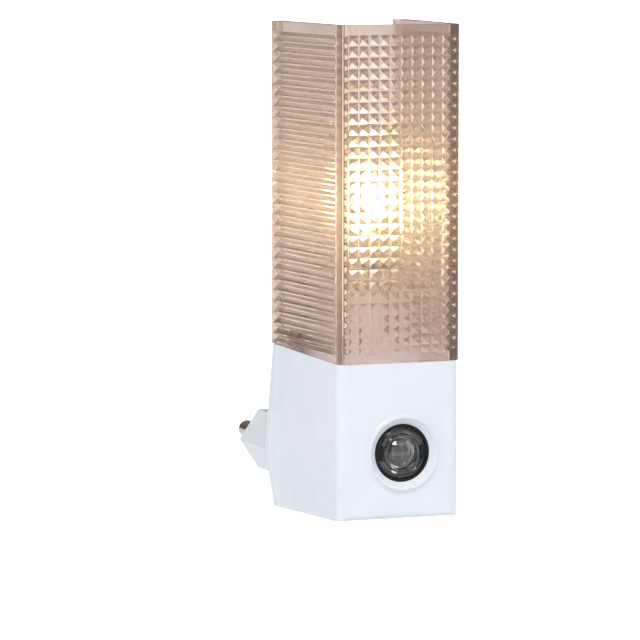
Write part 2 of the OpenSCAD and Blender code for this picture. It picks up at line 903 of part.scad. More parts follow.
module triac() {
    y = board_back_y + triac_rise;
    color("black") union() {
        difference() {
            translate([0, y, triac_z])
                cylinder(d = triac_d, h = triac_h);
            translate([-triac_d, y + triac_flat, triac_z - over])
                cube([2 * triac_d, triac_d, triac_h + 2 * over]);
        }
        for (x = [-leg_pitch, 0, leg_pitch])
            bar_y(x, triac_leg_z, leg_d, board_back_y, y, $fn = leg_sides);
    }
}

// ---- Lamp holder ----

module lamp_holder() {
    color("ivory") difference() {
        turned_lamp()
            polygon([
                [0, holder_bottom_z],
                [holder_d / 2, holder_bottom_z],
                [holder_d / 2, ceiling_z - holder_flange_t],
                [holder_flange_d / 2, ceiling_z - holder_flange_t],
                [holder_flange_d / 2, ceiling_z],
                [holder_d / 2, ceiling_z],
                [holder_d / 2, holder_top_z],
                [shell_r + push_clear, holder_top_z],
                [shell_r + push_clear, shell_bottom_z],
                [shell_r - shell_seat_w, shell_bottom_z],
                [shell_r - shell_seat_w, holder_floor_z],
                [0, holder_floor_z]
            ]);
        for (side = [-1, 1])
            translate([
                side * terminal_x - terminal_t / 2 - push_clear,
                lamp_y - terminal_w / 2 - push_clear,
                holder_bottom_z - over
            ])
                cube([terminal_t + 2 * push_clear, terminal_w + 2 * push_clear, holder_floor_t + 2 * over]);
    }
}

module holder_ring() {
    color("ivory") difference() {
        turned_lamp()
            translate([holder_d / 2 + push_clear, deck_boss_z])
                square([(ring_d - holder_d) / 2 - push_clear, ring_h]);
        for (i = [0:ring_grips - 1])
            translate([0, lamp_y, deck_boss_z + ring_h / 3])
                rotate(i * 360 / ring_grips)
                    translate([ring_d / 2 + ring_grip_d / 5, 0, 0])
                        cylinder(d = ring_grip_d, h = ring_h, $fn = 24);
    }
}

module threaded_shell() {
    tab_z = shell_bottom_z + terminal_t;
    color("goldenrod") union() {
        turned_lamp()
            translate([shell_r - shell_t, shell_bottom_z])
                square([shell_t, shell_h]);
        // The terminal steps in from the shell's foot and down through the floor
        translate([terminal_x - terminal_t / 2, lamp_y - terminal_w / 2, terminal_z])
            cube([terminal_t, terminal_w, tab_z - terminal_z]);
        translate([terminal_x - terminal_t / 2, lamp_y - terminal_w / 2, tab_z - terminal_t])
            cube([shell_r - shell_t / 2 - terminal_x, terminal_w, terminal_t]);
    }
}

module centre_contact() {
    tip_z = lamp_seat_z - contact_gap;
    tip_x = button_d / 2;
    tip_flat = 1.2;
    bend_x = 2.5;
    t = terminal_t;
    x0 = -terminal_x;
    color("darkgoldenrod") union() {
        translate([x0 - t / 2, lamp_y - terminal_w / 2, terminal_z])
            cube([t, terminal_w, holder_floor_z + t - terminal_z]);
        along_y(lamp_y - terminal_w / 2, lamp_y + terminal_w / 2)
            polygon([
                [x0 - t / 2, holder_floor_z],
                [tip_x, holder_floor_z],
                [tip_x, holder_floor_z + t],
                [-bend_x, holder_floor_z + t],
                [tip_x - tip_flat + t, tip_z - t],
                [tip_x, tip_z - t],
                [tip_x, tip_z],
                [tip_x - tip_flat, tip_z],
                [-bend_x - 2 * t, holder_floor_z + t],
                [x0 - t / 2, holder_floor_z + t]
            ]);
    }
}

module holder_leads() {
    color("royalblue")
        for (side = [-1, 1])
            wire(curve(
                [side * terminal_x, lamp_y, terminal_z],
                [side * terminal_x, lamp_y, terminal_z - holder_lead_bend],
                [side * holder_lead_x, board_back_y + holder_lead_bend, holder_lead_z],
                [side * holder_lead_x, board_back_y, holder_lead_z],
                lead_steps
            ), lead_d, [1, 0, 0]);
}

// ---- Shade ----

// The space inside the shade, open between the two rear lips
module shade_hollow() {
    y0 = front_y + shade_wall;
    y1 = back_y - shade_lip_t;
    half_slot = shade_half_w(back_y) - shade_lip_w;
    half0 = shade_half_w(y0) - shade_wall;
    half1 = shade_half_w(y1) - shade_wall;
    polygon(drafted_plan(half0, half1, y0, y1, hollow_corner_r));
    translate([-half_slot, y1 - over])
        square([2 * half_slot, shade_lip_t + 2 * over]);
}

// Outline of a V-shaped cut with its mouth from a to b, where depth runs along Y
function vee(a, b, depth) = [
    [a, -over], [a, 0], [(a + b) / 2, depth], [b, 0], [b, -over]
];

// The front's square pits: upright V cuts crossed by level ones
module front_pits() {
    half_field = pit_columns * pit_pitch / 2;
    intersection() {
        translate([0, front_y, field_bottom_z])
            linear_extrude(field_top_z - field_bottom_z) {
                for (i = [0:pit_columns - 1])
                    translate([i * pit_pitch - half_field, 0])
                        polygon(vee(pit_land / 2, pit_pitch - pit_land / 2, pit_depth));
                for (side = [0, 1])
                    mirror([side, 0])
                        translate([half_field, 0])
                            polygon(vee(pit_land / 2, edge_pit_w, edge_pit_depth));
            }
        for (m = row_mouths)
            along_x(shade_front_w)
                polygon([for (p = vee(m[0], m[1], pit_depth)) [front_y + p.y, p.x]]);
    }
}

// The level flutes of one side wall, side = -1 left or 1 right
module side_flutes(side) {
    length = body_depth / cos(shade_side_angle) - flute_start - flute_end;
    translate([side * shade_front_w / 2, front_y, 0])
        rotate([0, 0, -side * shade_side_angle])
            for (m = row_mouths)
                along_y(flute_start, flute_start + length)
                    polygon([for (p = vee(m[0], m[1], flute_depth)) [-side * p.y, p.x]]);
}

// One tongue's block, grown by the given clearance, from z0 to z1
module tongue_block(side, clear, z0, z1) {
    x = side * (housing_half_w(tongue_y - tongue_w / 2) - housing_wall - tongue_clear - tongue_t / 2);
    translate([x - tongue_t / 2 - clear, tongue_y - tongue_w / 2 - clear, z0])
        cube([tongue_t + 2 * clear, tongue_w + 2 * clear, z1 - z0]);
}

// Joins a tongue to the side wall above the seam
module tongue_root(side) {
    inner_x = housing_half_w(tongue_y - tongue_w / 2) - housing_wall - tongue_clear - tongue_t;
    outer_x = shade_half_w(tongue_y) - shade_wall / 2;
    translate([
        side > 0 ? inner_x : -outer_x,
        tongue_y - tongue_w / 2,
        seam_z(back_y) + seam_gap
    ])
        cube([outer_x - inner_x, tongue_w, seam_z(tongue_y) + tongue_root_h - seam_z(back_y) - seam_gap]);
}

module shade() {
    color("rosybrown", 0.55) difference() {
        union() {
            difference() {
                union() {
                    difference() {
                        translate([0, 0, front_top])
                            linear_extrude(shade_h)
                                polygon(drafted_plan(
                                    shade_front_w / 2, shade_rear_w / 2,
                                    front_y, back_y, shade_corner_r
                                ));
                        front_pits();
                        side_flutes(-1);
                        side_flutes(1);
                    }
                    for (side = [-1, 1])
                        translate([
                            side * (shade_half_w(nub_y) - nub_r + nub_h),
                            nub_y,
                            field_bottom_z + nub_lift
                        ])
                            sphere(r = nub_r, $fn = 32);
                }
                translate([0, 0, front_top - over])
                    linear_extrude(shade_h + 2 * over)
                        shade_hollow();
            }
            for (side = [-1, 1]) {
                tongue_block(side, 0, seam_z(tongue_y) - tongue_l, seam_z(tongue_y) + tongue_root_h);
                tongue_root(side);
            }
        }
        // The bottom edge follows the housing's sloping top, but the tongues pass it
        difference() {
            along_x(2 * shade_rear_w)
                polygon([
                    [front_y - over, front_top - over],
                    [front_y - over, seam_z(front_y - over) + seam_gap],
                    [back_y + over, seam_z(back_y + over) + seam_gap],
                    [back_y + over, front_top - over]
                ]);
            for (side = [-1, 1])
                tongue_block(side, 0, front_top - 2 * over, seam_z(back_y) + 2 * over);
        }
    }
}

// ---- Lamp ----

module bulb_glass() {
    r = bulb_d / 2;
    shoulder_z = neck_z + neck_h;
    dome_z = bulb_top_z - r;
    n = 12;
    // Outline of the envelope, drawn inwards by t
    function envelope(t) = concat(
        [[neck_r - t, neck_z], [neck_r - t, shoulder_z]],
        [
            for (i = [0:n])
                let (s = i / n)
                [
                    neck_r + (r - neck_r) * (1 - cos(180 * s)) / 2 - t,
                    shoulder_z + shoulder_h * s
                ]
        ],
        [for (i = [0:n]) [(r - t) * cos(90 * i / n), dome_z + (r - t) * sin(90 * i / n)]]
    );
    outer = envelope(0);
    inner = envelope(glass_t);
    color("white", 0.35)
        turned_lamp()
            polygon(concat(outer, [for (i = [len(inner) - 1:-1:0]) inner[i]]));
}

module bulb_cap() {
    cap_r = cap_d / 2;
    skirt_r = skirt_d / 2;
    color("silver")
        turned_lamp()
            polygon([
                [cap_r - cap_t, cap_bottom_z],
                [cap_r, cap_bottom_z],
                [cap_r, cap_top_z],
                [skirt_r, skirt_top_z - skirt_straight_h],
                [skirt_r, skirt_top_z],
                [skirt_r - cap_t, skirt_top_z],
                [skirt_r - cap_t, skirt_top_z - skirt_straight_h + cap_t / 2],
                [cap_r - cap_t, cap_top_z + cap_t / 2]
            ]);
}

module bulb_insulator() {
    bottom_z = lamp_seat_z + button_h;
    top_z = cap_bottom_z + insulator_plug_h;
    plug_r = cap_d / 2 - cap_t - push_clear;
    color("black") difference() {
        turned_lamp()
            polygon([
                [0, bottom_z],
                [button_d / 2 + button_edge, bottom_z],
                [cap_d / 2 - cap_t, cap_bottom_z],
                [plug_r, cap_bottom_z],
                [plug_r, top_z],
                [0, top_z]
            ]);
        translate([0, lamp_y, bottom_z - over])
            cylinder(d = button_stem_d + 2 * button_clear, h = top_z - bottom_z + 2 * over);
    }
}

module bulb_contact() {
    color("silver")
        turned_lamp()
            polygon([
                [0, lamp_seat_z],
                [button_d / 2 - button_edge, lamp_seat_z],
                [button_d / 2, lamp_seat_z + button_h / 2],
                [button_d / 2, lamp_seat_z + button_h - button_clear],
                [button_stem_d / 2, lamp_seat_z + button_h - button_clear],
                [button_stem_d / 2, cap_bottom_z],
                [0, cap_bottom_z]
            ]);
}

module bulb_stem() {
    flare_r = neck_r - glass_t - push_clear;
    color("white", 0.35)
        turned_lamp()
            polygon([
                [0, neck_z],
                [flare_r, neck_z],
                [flare_r, neck_z + neck_h / 3],
                [stem_foot_r, neck_z + shoulder_h / 2],
                [stem_r, stem_top_z - stem_tip_h],
                [stem_r, stem_top_z],
                [0, stem_top_z]
            ]);
}

module support_wires() {
    tip_z = filament_z - filament_d / 2;
    color("gray")
        for (side = [-1, 1])
            wire(curve(
                [side * support_root_x, lamp_y, stem_top_z],
                [side * support_root_x, lamp_y, stem_top_z + support_h / 2],
                [side * filament_half_w, lamp_y, tip_z - support_h / 2],
                [side * filament_half_w, lamp_y, tip_z],
                lead_steps
            ), support_d, [0, 1, 0]);
}

// One tall arch between the tips of the two support wires
module filament() {
    steps = 32;
    color("gold")
        wire([
            for (i = [0:steps])
                let (s = i / steps)
                [
                    filament_half_w * (2 * s - 1),
                    lamp_y,
                    filament_z + filament_arch_h * (1 - cos(360 * s)) / 2
                ]
        ], filament_d, [0, 1, 0]);
}

front_housing();
rear_cover();
cover_screws();
plug_pins();
pin_sleeves();
pin_retainer();
pin_leads();
sensor_cup();
sensor_lens();
light_sensor();
control_board();
board_screws();
capacitor();
resistors();
rectifier_diodes();
triac();
lamp_holder();
holder_ring();
threaded_shell();
centre_contact();
holder_leads();
shade();
bulb_glass();
bulb_cap();
bulb_insulator();
bulb_contact();
bulb_stem();
support_wires();
filament();
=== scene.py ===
import math

import bmesh
import bpy
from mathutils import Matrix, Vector


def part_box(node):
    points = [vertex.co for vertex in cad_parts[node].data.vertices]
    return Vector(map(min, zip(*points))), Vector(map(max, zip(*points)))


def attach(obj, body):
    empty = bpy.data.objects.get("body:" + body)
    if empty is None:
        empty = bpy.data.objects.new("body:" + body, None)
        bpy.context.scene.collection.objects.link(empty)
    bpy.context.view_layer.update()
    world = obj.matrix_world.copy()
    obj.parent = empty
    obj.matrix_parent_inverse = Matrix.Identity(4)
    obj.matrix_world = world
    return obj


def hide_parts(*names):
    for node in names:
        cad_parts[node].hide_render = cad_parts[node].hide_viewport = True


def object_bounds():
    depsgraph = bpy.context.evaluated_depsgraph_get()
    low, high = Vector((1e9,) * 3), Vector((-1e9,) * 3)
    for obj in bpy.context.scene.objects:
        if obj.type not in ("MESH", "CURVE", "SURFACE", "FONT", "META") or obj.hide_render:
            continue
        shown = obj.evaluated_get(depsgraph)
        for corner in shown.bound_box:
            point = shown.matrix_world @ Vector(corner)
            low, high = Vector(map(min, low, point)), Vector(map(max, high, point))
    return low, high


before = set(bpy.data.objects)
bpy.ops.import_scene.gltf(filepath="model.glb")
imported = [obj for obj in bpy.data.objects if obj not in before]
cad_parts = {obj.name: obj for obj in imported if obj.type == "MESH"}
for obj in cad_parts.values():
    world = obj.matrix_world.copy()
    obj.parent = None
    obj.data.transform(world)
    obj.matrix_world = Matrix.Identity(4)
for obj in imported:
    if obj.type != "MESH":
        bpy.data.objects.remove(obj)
cad_low, cad_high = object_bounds()
MM = 0.001

# ---- Studio ----
# The light hangs in the air as it does when plugged in, above a plain pale floor. A pale room lights it
# from all sides and three large lamps from the front. The camera sees the room and floor white. Mirrors see
# painted dim walls under a painted white ceiling, a painted reflection. Glass sees a painted warm glow
# behind the shade, standing in for the lamp's light, and painted shade to its sides. These deepen the look
# of the shade and the sensor.
VIEW_DISTANCE = 944 * MM
VIEW_LEFT = math.radians(21.28)
VIEW_UP = math.radians(5.83)
VIEW_TARGET = Vector((-11.19, -35.0, 30.97)) * MM
LENS_LENGTH = 236.25
SENSOR_WIDTH = 36
FLOOR_DROP = 55 * MM
FLOOR_HALF = 6.0
WHITE = (1, 1, 1, 1)
ROOM_LIGHT = (0.60, 0.61, 0.62, 1)
MIRROR_PAINTED_DIM_WALLS = (0.12, 0.12, 0.125, 1)
PAINTED_CEILING_STARTS = math.radians(24)
PAINTED_CEILING_FULL = math.radians(40)
GLASS_PAINTED_SHADE = (0.32, 0.26, 0.245, 1)
GLASS_PAINTED_GLOW = (1.0, 0.94, 0.74, 1)
PAINTED_GLOW_WAY = Vector((0.11, 0.93, -0.345)).normalized()
PAINTED_GLOW_INNER = math.radians(14)
PAINTED_GLOW_OUTER = math.radians(27)
FLOOR_COLOUR = (0.88, 0.89, 0.90, 1)


def joined_colour(nodes, links, amount, first, second):
    """The colour between two others, by an amount. Each is a value or another node's socket."""
    join = nodes.new("ShaderNodeMix")
    join.data_type = "RGBA"
    for socket, term in zip((join.inputs[0], join.inputs[6], join.inputs[7]), (amount, first, second)):
        if isinstance(term, bpy.types.NodeSocket):
            links.new(term, socket)
        else:
            socket.default_value = term
    return join.outputs[2]


def studio_colour_and_painted_light(nodes, links, way, plain):
    """Colour of the room or floor in a direction from the shade: white for the camera and plain for light.
    A mirror shows painted dim walls under a painted white ceiling, a painted reflection. Glass shows a
    painted warm glow behind the shade, standing in for the lamp's light, and painted shade to its sides."""
    # Glass sees a painted warm glow in one fixed way behind the shade, fading to painted shade at its sides
    toward = nodes.new("ShaderNodeVectorMath")
    toward.operation = "DOT_PRODUCT"
    toward.inputs[1].default_value = PAINTED_GLOW_WAY
    links.new(way, toward.inputs[0])
    middle = nodes.new("ShaderNodeMapRange")
    middle.interpolation_type = "SMOOTHSTEP"
    middle.inputs["From Min"].default_value = math.cos(PAINTED_GLOW_OUTER)
    middle.inputs["From Max"].default_value = math.cos(PAINTED_GLOW_INNER)
    links.new(toward.outputs["Value"], middle.inputs["Value"])
    share = middle.outputs["Result"]
    path = nodes.new("ShaderNodeLightPath")
    glass_painted_light = joined_colour(nodes, links, share, GLASS_PAINTED_SHADE, GLASS_PAINTED_GLOW)
    # Mirrors see a painted reflection: painted dim walls below a painted white ceiling
    parts = nodes.new("ShaderNodeSeparateXYZ")
    links.new(way, parts.inputs[0])
    painted_ceiling = nodes.new("ShaderNodeMapRange")
    painted_ceiling.interpolation_type = "SMOOTHSTEP"
    painted_ceiling.inputs["From Min"].default_value = math.sin(PAINTED_CEILING_STARTS)
    painted_ceiling.inputs["From Max"].default_value = math.sin(PAINTED_CEILING_FULL)
    links.new(parts.outputs["Z"], painted_ceiling.inputs["Value"])
    mirror_painted_reflection = joined_colour(nodes, links, painted_ceiling.outputs["Result"], MIRROR_PAINTED_DIM_WALLS, WHITE)
    tone = joined_colour(nodes, links, path.outputs["Is Glossy Ray"], plain, mirror_painted_reflection)
    tone = joined_colour(nodes, links, path.outputs["Is Transmission Ray"], tone, glass_painted_light)
    return joined_colour(nodes, links, path.outputs["Is Camera Ray"], tone, WHITE)


room = bpy.data.worlds.new("room")
bpy.context.scene.world = room
room.use_nodes = True
room_nodes, room_links = room.node_tree.nodes, room.node_tree.links
room_way = room_nodes.new("ShaderNodeTexCoord")
room_tone = studio_colour_and_painted_light(room_nodes, room_links, room_way.outputs["Generated"], ROOM_LIGHT)
room_links.new(room_tone, room_nodes["Background"].inputs["Color"])

floor_mesh = bpy.data.meshes.new("floor")
floor_z = cad_low.z - FLOOR_DROP
floor_mesh.from_pydata(
    [
        (x * FLOOR_HALF, y * FLOOR_HALF, floor_z)
        for x, y in ((-1, -1), (1, -1), (1, 1), (-1, 1))
    ],
    [],
    [(0, 1, 2, 3)],
)
floor = bpy.data.objects.new("floor", floor_mesh)
bpy.context.scene.collection.objects.link(floor)
floor_paint = bpy.data.materials.new("floor_paint")
floor_paint.use_nodes = True
floor_shader = floor_paint.node_tree.nodes["Principled BSDF"]
floor_shader.inputs["Base Color"].default_value = FLOOR_COLOUR
floor_shader.inputs["Roughness"].default_value = 0.9
floor_shader.inputs["Specular IOR Level"].default_value = 0.0
floor_shader.inputs["Emission Strength"].default_value = 1.0
floor_nodes, floor_links = floor_paint.node_tree.nodes, floor_paint.node_tree.links
# The floor's emission is white for the camera. Seen in glass and mirrors it carries the same painted glow,
# painted shade and painted reflection, by way from the shade's middle
floor_place = floor_nodes.new("ShaderNodeTexCoord")
floor_from = floor_nodes.new("ShaderNodeVectorMath")
floor_from.operation = "SUBTRACT"
floor_from.inputs[1].default_value = sum(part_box("shade"), Vector()) / 2
floor_links.new(floor_place.outputs["Object"], floor_from.inputs[0])
floor_way = floor_nodes.new("ShaderNodeVectorMath")
floor_way.operation = "NORMALIZE"
floor_links.new(floor_from.outputs[0], floor_way.inputs[0])
floor_tone = studio_colour_and_painted_light(floor_nodes, floor_links, floor_way.outputs[0], (0, 0, 0, 1))
floor_links.new(floor_tone, floor_shader.inputs["Emission Color"])
floor_mesh.materials.append(floor_paint)


def softbox(name, place, size, power, colour):
    """A soft rectangular lamp that faces the point the camera aims at."""
    lamp = bpy.data.lights.new(name, "AREA")
    lamp.shape = "RECTANGLE"
    lamp.size, lamp.size_y = size
    lamp.energy = power
    lamp.color = colour
    holder = bpy.data.objects.new(name, lamp)
    bpy.context.scene.collection.objects.link(holder)
    holder.location = place
    aim = VIEW_TARGET - Vector(place)
    holder.rotation_euler = aim.to_track_quat("-Z", "Y").to_euler()


softbox(
    "key_lamp",
    place=(-0.33, -0.75, 0.78),
    size=(0.3, 0.3),
    power=3.6,
    colour=(1.0, 0.99, 0.98),
)
softbox(
    "left_lamp",
    place=(-0.95, -0.35, 0.25),
    size=(0.6, 0.6),
    power=1.3,
    colour=(1.0, 1.0, 1.0),
)
softbox(
    "side_lamp",
    place=(0.9, -0.5, 0.35),
    size=(0.5, 0.7),
    power=1.8,
    colour=(0.95, 0.975, 1.0),
)

view_back = Vector(
    (
        -math.sin(VIEW_LEFT) * math.cos(VIEW_UP),
        -math.cos(VIEW_LEFT) * math.cos(VIEW_UP),
        math.sin(VIEW_UP),
    )
)
camera_data = bpy.data.cameras.new("camera")
camera_data.lens = LENS_LENGTH
camera_data.sensor_width = SENSOR_WIDTH
camera_data.clip_start = 0.05
camera_data.clip_end = 40
camera = bpy.data.objects.new("camera", camera_data)
bpy.context.scene.collection.objects.link(camera)
camera.location = VIEW_TARGET + view_back * VIEW_DISTANCE
camera.rotation_euler = (-view_back).to_track_quat("-Z", "Y").to_euler()
bpy.context.scene.camera = camera
bpy.context.scene.view_settings.view_transform = "Standard"

# ---- Front housing ----
# One moulding of glossy white plastic: front, sides, top and bottom, the raised ring round the sensor and
# the low round seat of the lamp holder. Its edges keep the small radius that the mould leaves.
HOUSING_WHITE = (0.845, 0.89, 0.935, 1)
HOUSING_SHADE = (0.80, 0.85, 0.905, 1)
HOUSING_EDGE = 0.45 * MM


def group_sockets(group, inputs, outputs):
    for name, kind, value in inputs:
        socket = group.interface.new_socket(name, in_out="INPUT", socket_type=kind)
        if value is not None:
            socket.default_value = value
    for name, kind in outputs:
        group.interface.new_socket(name, in_out="OUTPUT", socket_type=kind)


def moulded_surface_group():
    """Plastic from a polished mould: faint waves, fine dust and smears in its gloss and colour."""
    group = bpy.data.node_groups.new("moulded_surface", "ShaderNodeTree")
    group_sockets(
        group,
        [
            ("Color", "NodeSocketColor", (0.8, 0.8, 0.8, 1)),
            ("Shade", "NodeSocketColor", (0.7, 0.7, 0.7, 1)),
            ("Roughness", "NodeSocketFloat", 0.2),
            ("Smear", "NodeSocketFloat", 0.1),
            ("Grain", "NodeSocketFloat", 0.1),
            ("Scale", "NodeSocketFloat", 1.0),
        ],
        [
            ("Color", "NodeSocketColor"),
            ("Roughness", "NodeSocketFloat"),
            ("Normal", "NodeSocketVector"),
        ],
    )
    nodes, links = group.nodes, group.links
    inside = nodes.new("NodeGroupInput")
    outside = nodes.new("NodeGroupOutput")
    place = nodes.new("ShaderNodeTexCoord")
    sized = nodes.new("ShaderNodeVectorMath")
    sized.operation = "SCALE"
    links.new(place.outputs["Object"], sized.inputs[0])
    links.new(inside.outputs["Scale"], sized.inputs["Scale"])
    cloud = nodes.new("ShaderNodeTexNoise")
    cloud.inputs["Scale"].default_value = 70
    cloud.inputs["Detail"].default_value = 3
    links.new(sized.outputs[0], cloud.inputs["Vector"])
    dust = nodes.new("ShaderNodeTexNoise")
    dust.inputs["Scale"].default_value = 1400
    dust.inputs["Detail"].default_value = 2
    links.new(sized.outputs[0], dust.inputs["Vector"])
    patch = nodes.new("ShaderNodeMapRange")
    patch.inputs["From Min"].default_value = 0.42
    patch.inputs["From Max"].default_value = 0.72
    links.new(cloud.outputs["Fac"], patch.inputs["Value"])
    tint = nodes.new("ShaderNodeMix")
    tint.data_type = "RGBA"
    links.new(patch.outputs["Result"], tint.inputs[0])
    links.new(inside.outputs["Color"], tint.inputs[6])
    links.new(inside.outputs["Shade"], tint.inputs[7])
    links.new(tint.outputs[2], outside.inputs["Color"])
    smear = nodes.new("ShaderNodeMath")
    smear.operation = "MULTIPLY_ADD"
    links.new(patch.outputs["Result"], smear.inputs[0])
    links.new(inside.outputs["Smear"], smear.inputs[1])
    links.new(inside.outputs["Roughness"], smear.inputs[2])
    links.new(smear.outputs[0], outside.inputs["Roughness"])
    height = nodes.new("ShaderNodeMath")
    height.operation = "MULTIPLY_ADD"
    height.inputs[1].default_value = 0.25
    links.new(dust.outputs["Fac"], height.inputs[0])
    links.new(cloud.outputs["Fac"], height.inputs[2])
    bump = nodes.new("ShaderNodeBump")
    bump.inputs["Distance"].default_value = 0.05 * MM
    links.new(inside.outputs["Grain"], bump.inputs["Strength"])
    links.new(height.outputs[0], bump.inputs["Height"])
    links.new(bump.outputs[0], outside.inputs["Normal"])
    return group


moulded_surface = moulded_surface_group()


def moulded(name, colour, shade, roughness, smear=0.06, grain=0.15, scale=1.0):
    """A moulded or cast finish. Colour and shade are the two tones it wanders between."""
    material = bpy.data.materials.new(name)
    material.use_nodes = True
    nodes, links = material.node_tree.nodes, material.node_tree.links
    shader = nodes["Principled BSDF"]
    surface = nodes.new("ShaderNodeGroup")
    surface.node_tree = moulded_surface
    surface.inputs["Color"].default_value = colour
    surface.inputs["Shade"].default_value = shade
    surface.inputs["Roughness"].default_value = roughness
    surface.inputs["Smear"].default_value = smear
    surface.inputs["Grain"].default_value = grain
    surface.inputs["Scale"].default_value = scale
    links.new(surface.outputs["Color"], shader.inputs["Base Color"])
    links.new(surface.outputs["Roughness"], shader.inputs["Roughness"])
    links.new(surface.outputs["Normal"], shader.inputs["Normal"])
    return material, shader


def dress(node, material):
    """Gives a node of the frame its finish."""
    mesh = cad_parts[node].data
    mesh.materials.clear()
    mesh.materials.append(material)


def add_piece(name, mesh, material, body, slot, *replaced):
    """Puts a finished mesh in the scene as a piece that moves with a body."""
    mesh.name = name
    mesh.materials.clear()
    mesh.materials.append(material)
    piece = bpy.data.objects.new(name, mesh)
    bpy.context.scene.collection.objects.link(piece)
    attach(piece, body)
    if replaced:
        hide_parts(*replaced)
    return piece


def softened(node, name, radius, material, body, slot, sharp=30):
    """A node's own shape with its sharp edges rounded by the given radius."""
    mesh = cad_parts[node].data.copy()
    shape = bmesh.new()
    shape.from_mesh(mesh)
    bmesh.ops.remove_doubles(shape, verts=shape.verts, dist=0.002 * MM)
    bmesh.ops.dissolve_limit(
        shape, angle_limit=math.radians(0.5), verts=shape.verts, edges=shape.edges
    )
    shape.to_mesh(mesh)
    shape.free()
    if mesh.has_custom_normals:
        mesh.attributes.remove(mesh.attributes["custom_normal"])
    piece = add_piece(name, mesh, material, body, slot, node)
    rounding = piece.modifiers.new("rounded_edges", "BEVEL")
    rounding.width = radius
    rounding.segments = 3
    rounding.limit_method = "ANGLE"
    rounding.angle_limit = math.radians(sharp)
    rounding.harden_normals = False
    mesh.shade_smooth()
    mesh.set_sharp_from_angle(angle=math.radians(sharp))
    return piece


housing_white, housing_shader = moulded(
    "housing_white", HOUSING_WHITE, HOUSING_SHADE, 0.16, smear=0.05, grain=0.10
)
housing_shader.inputs["Coat Weight"].default_value = 0.35
housing_shader.inputs["Coat Roughness"].default_value = 0.06
softened("front_housing", "housing_shell", HOUSING_EDGE, housing_white, "housing", "housing_white")

# ---- Dusk sensor ----
# A black cup is pushed into the ring from behind. A clear moulded lens with a domed middle and raised rings
# snaps into it, keyed by two notches. A light-dependent resistor looks out through the hole behind.
SENSOR_X = 0.8 * MM
SENSOR_Z = 2.7 * MM
LENS_STEPS = 96
LENS_NOTCH_HEIGHT = 3.4 * MM
LENS_NOTCH_DEPTH = 1.5 * MM
LENS_FACE_HEIGHT = 1.0 * MM
LENS_GROOVE_DEPTH = 0.1 * MM
LENS_EDGE = 0.15 * MM
DOME_RADIUS = 3.4 * MM
DOME_EDGE = 3.15 * MM
DOME_STEPS = 10
RING_STEPS = 10
GROOVE_SPAN = (3.28 * MM, 3.40 * MM)
INNER_RING = (3.45 * MM, 4.35 * MM)
FLAT_SPAN = (4.40 * MM, 4.75 * MM)
OUTER_RING = (4.80 * MM, 5.50 * MM)
LENS_RING_HEIGHT = 0.25 * MM
REAR_GROOVES = 6
REAR_GROOVE_OUTER = 5.0 * MM
REAR_GROOVE_PITCH = 0.5 * MM
REAR_GROOVE_DEPTH = 0.15 * MM


def turned(profile, steps, place):
    """Spins a closed outline of (radius, height) points round an axis. place puts (x, y, height) in the
    frame."""
    shape = bmesh.new()
    rings = []
    for radius, height in profile:
        if radius < 1e-7:
            rings.append([shape.verts.new(place(0, 0, height))] * steps)
            continue
        rings.append(
            [
                shape.verts.new(
                    place(
                        radius * math.cos(2 * math.pi * i / steps),
                        radius * math.sin(2 * math.pi * i / steps),
                        height,
                    )
                )
                for i in range(steps)
            ]
        )
    for low, high in zip(rings, rings[1:] + rings[:1]):
        for i in range(steps):
            j = (i + 1) % steps
            corners = list(dict.fromkeys((low[i], low[j], high[j], high[i])))
            if len(corners) > 2:
                shape.faces.new(corners)
    bmesh.ops.recalc_face_normals(shape, faces=shape.faces)
    mesh = bpy.data.meshes.new("turned")
    shape.to_mesh(mesh)
    shape.free()
    mesh.shade_smooth()
    return mesh


def faces_front(x, y, height):
    """Heights run forwards, towards the one who looks at the light."""
    return (SENSOR_X + x, -height, SENSOR_Z + y)


lens_low, lens_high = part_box("sensor_lens")
lens_radius = max(lens_high.x - lens_low.x, lens_high.z - lens_low.z) / 2
lens_back = -lens_high.y
lens_top = -lens_low.y
lens_face = lens_back + LENS_FACE_HEIGHT
lens_groove = lens_face - LENS_GROOVE_DEPTH
dome_rise = lens_top - lens_face
dome_ball = (DOME_RADIUS**2 + dome_rise**2) / (2 * dome_rise)


def bead(span, base, height):
    """Profile of a rounded ring that stands on a face, from its inner edge to its outer one."""
    inner, outer = span
    middle, half = (inner + outer) / 2, (outer - inner) / 2
    turns = [math.pi * i / RING_STEPS for i in range(RING_STEPS + 1)]
    return [(middle - half * math.cos(turn), base + height * math.sin(turn)) for turn in turns]


def dome_height(radius):
    return lens_top - dome_ball + math.sqrt(dome_ball**2 - radius**2)


dome_radii = [DOME_EDGE * i / DOME_STEPS for i in range(DOME_STEPS + 1)]
lens_front = [(radius, dome_height(radius)) for radius in dome_radii]
lens_front += [(radius, lens_groove) for radius in GROOVE_SPAN]
lens_front += bead(INNER_RING, lens_groove, 2 * LENS_RING_HEIGHT)
lens_front += [(radius, lens_face) for radius in FLAT_SPAN]
lens_front += bead(OUTER_RING, lens_face, LENS_RING_HEIGHT)
lens_front += [
    (lens_radius - LENS_EDGE, lens_face),
    (lens_radius, lens_face - LENS_EDGE),
    (lens_radius, lens_back),
]
# Fine V grooves on the lens's back spread the light
lens_rear = []
for i in range(REAR_GROOVES):
    groove_radius = REAR_GROOVE_OUTER - i * REAR_GROOVE_PITCH
    lens_rear += [
        (groove_radius, lens_back),
        (groove_radius - REAR_GROOVE_DEPTH, lens_back + REAR_GROOVE_DEPTH),
        (groove_radius - 2 * REAR_GROOVE_DEPTH, lens_back),
    ]
lens_mesh = turned(lens_front + lens_rear + [(0, lens_back)], LENS_STEPS, faces_front)


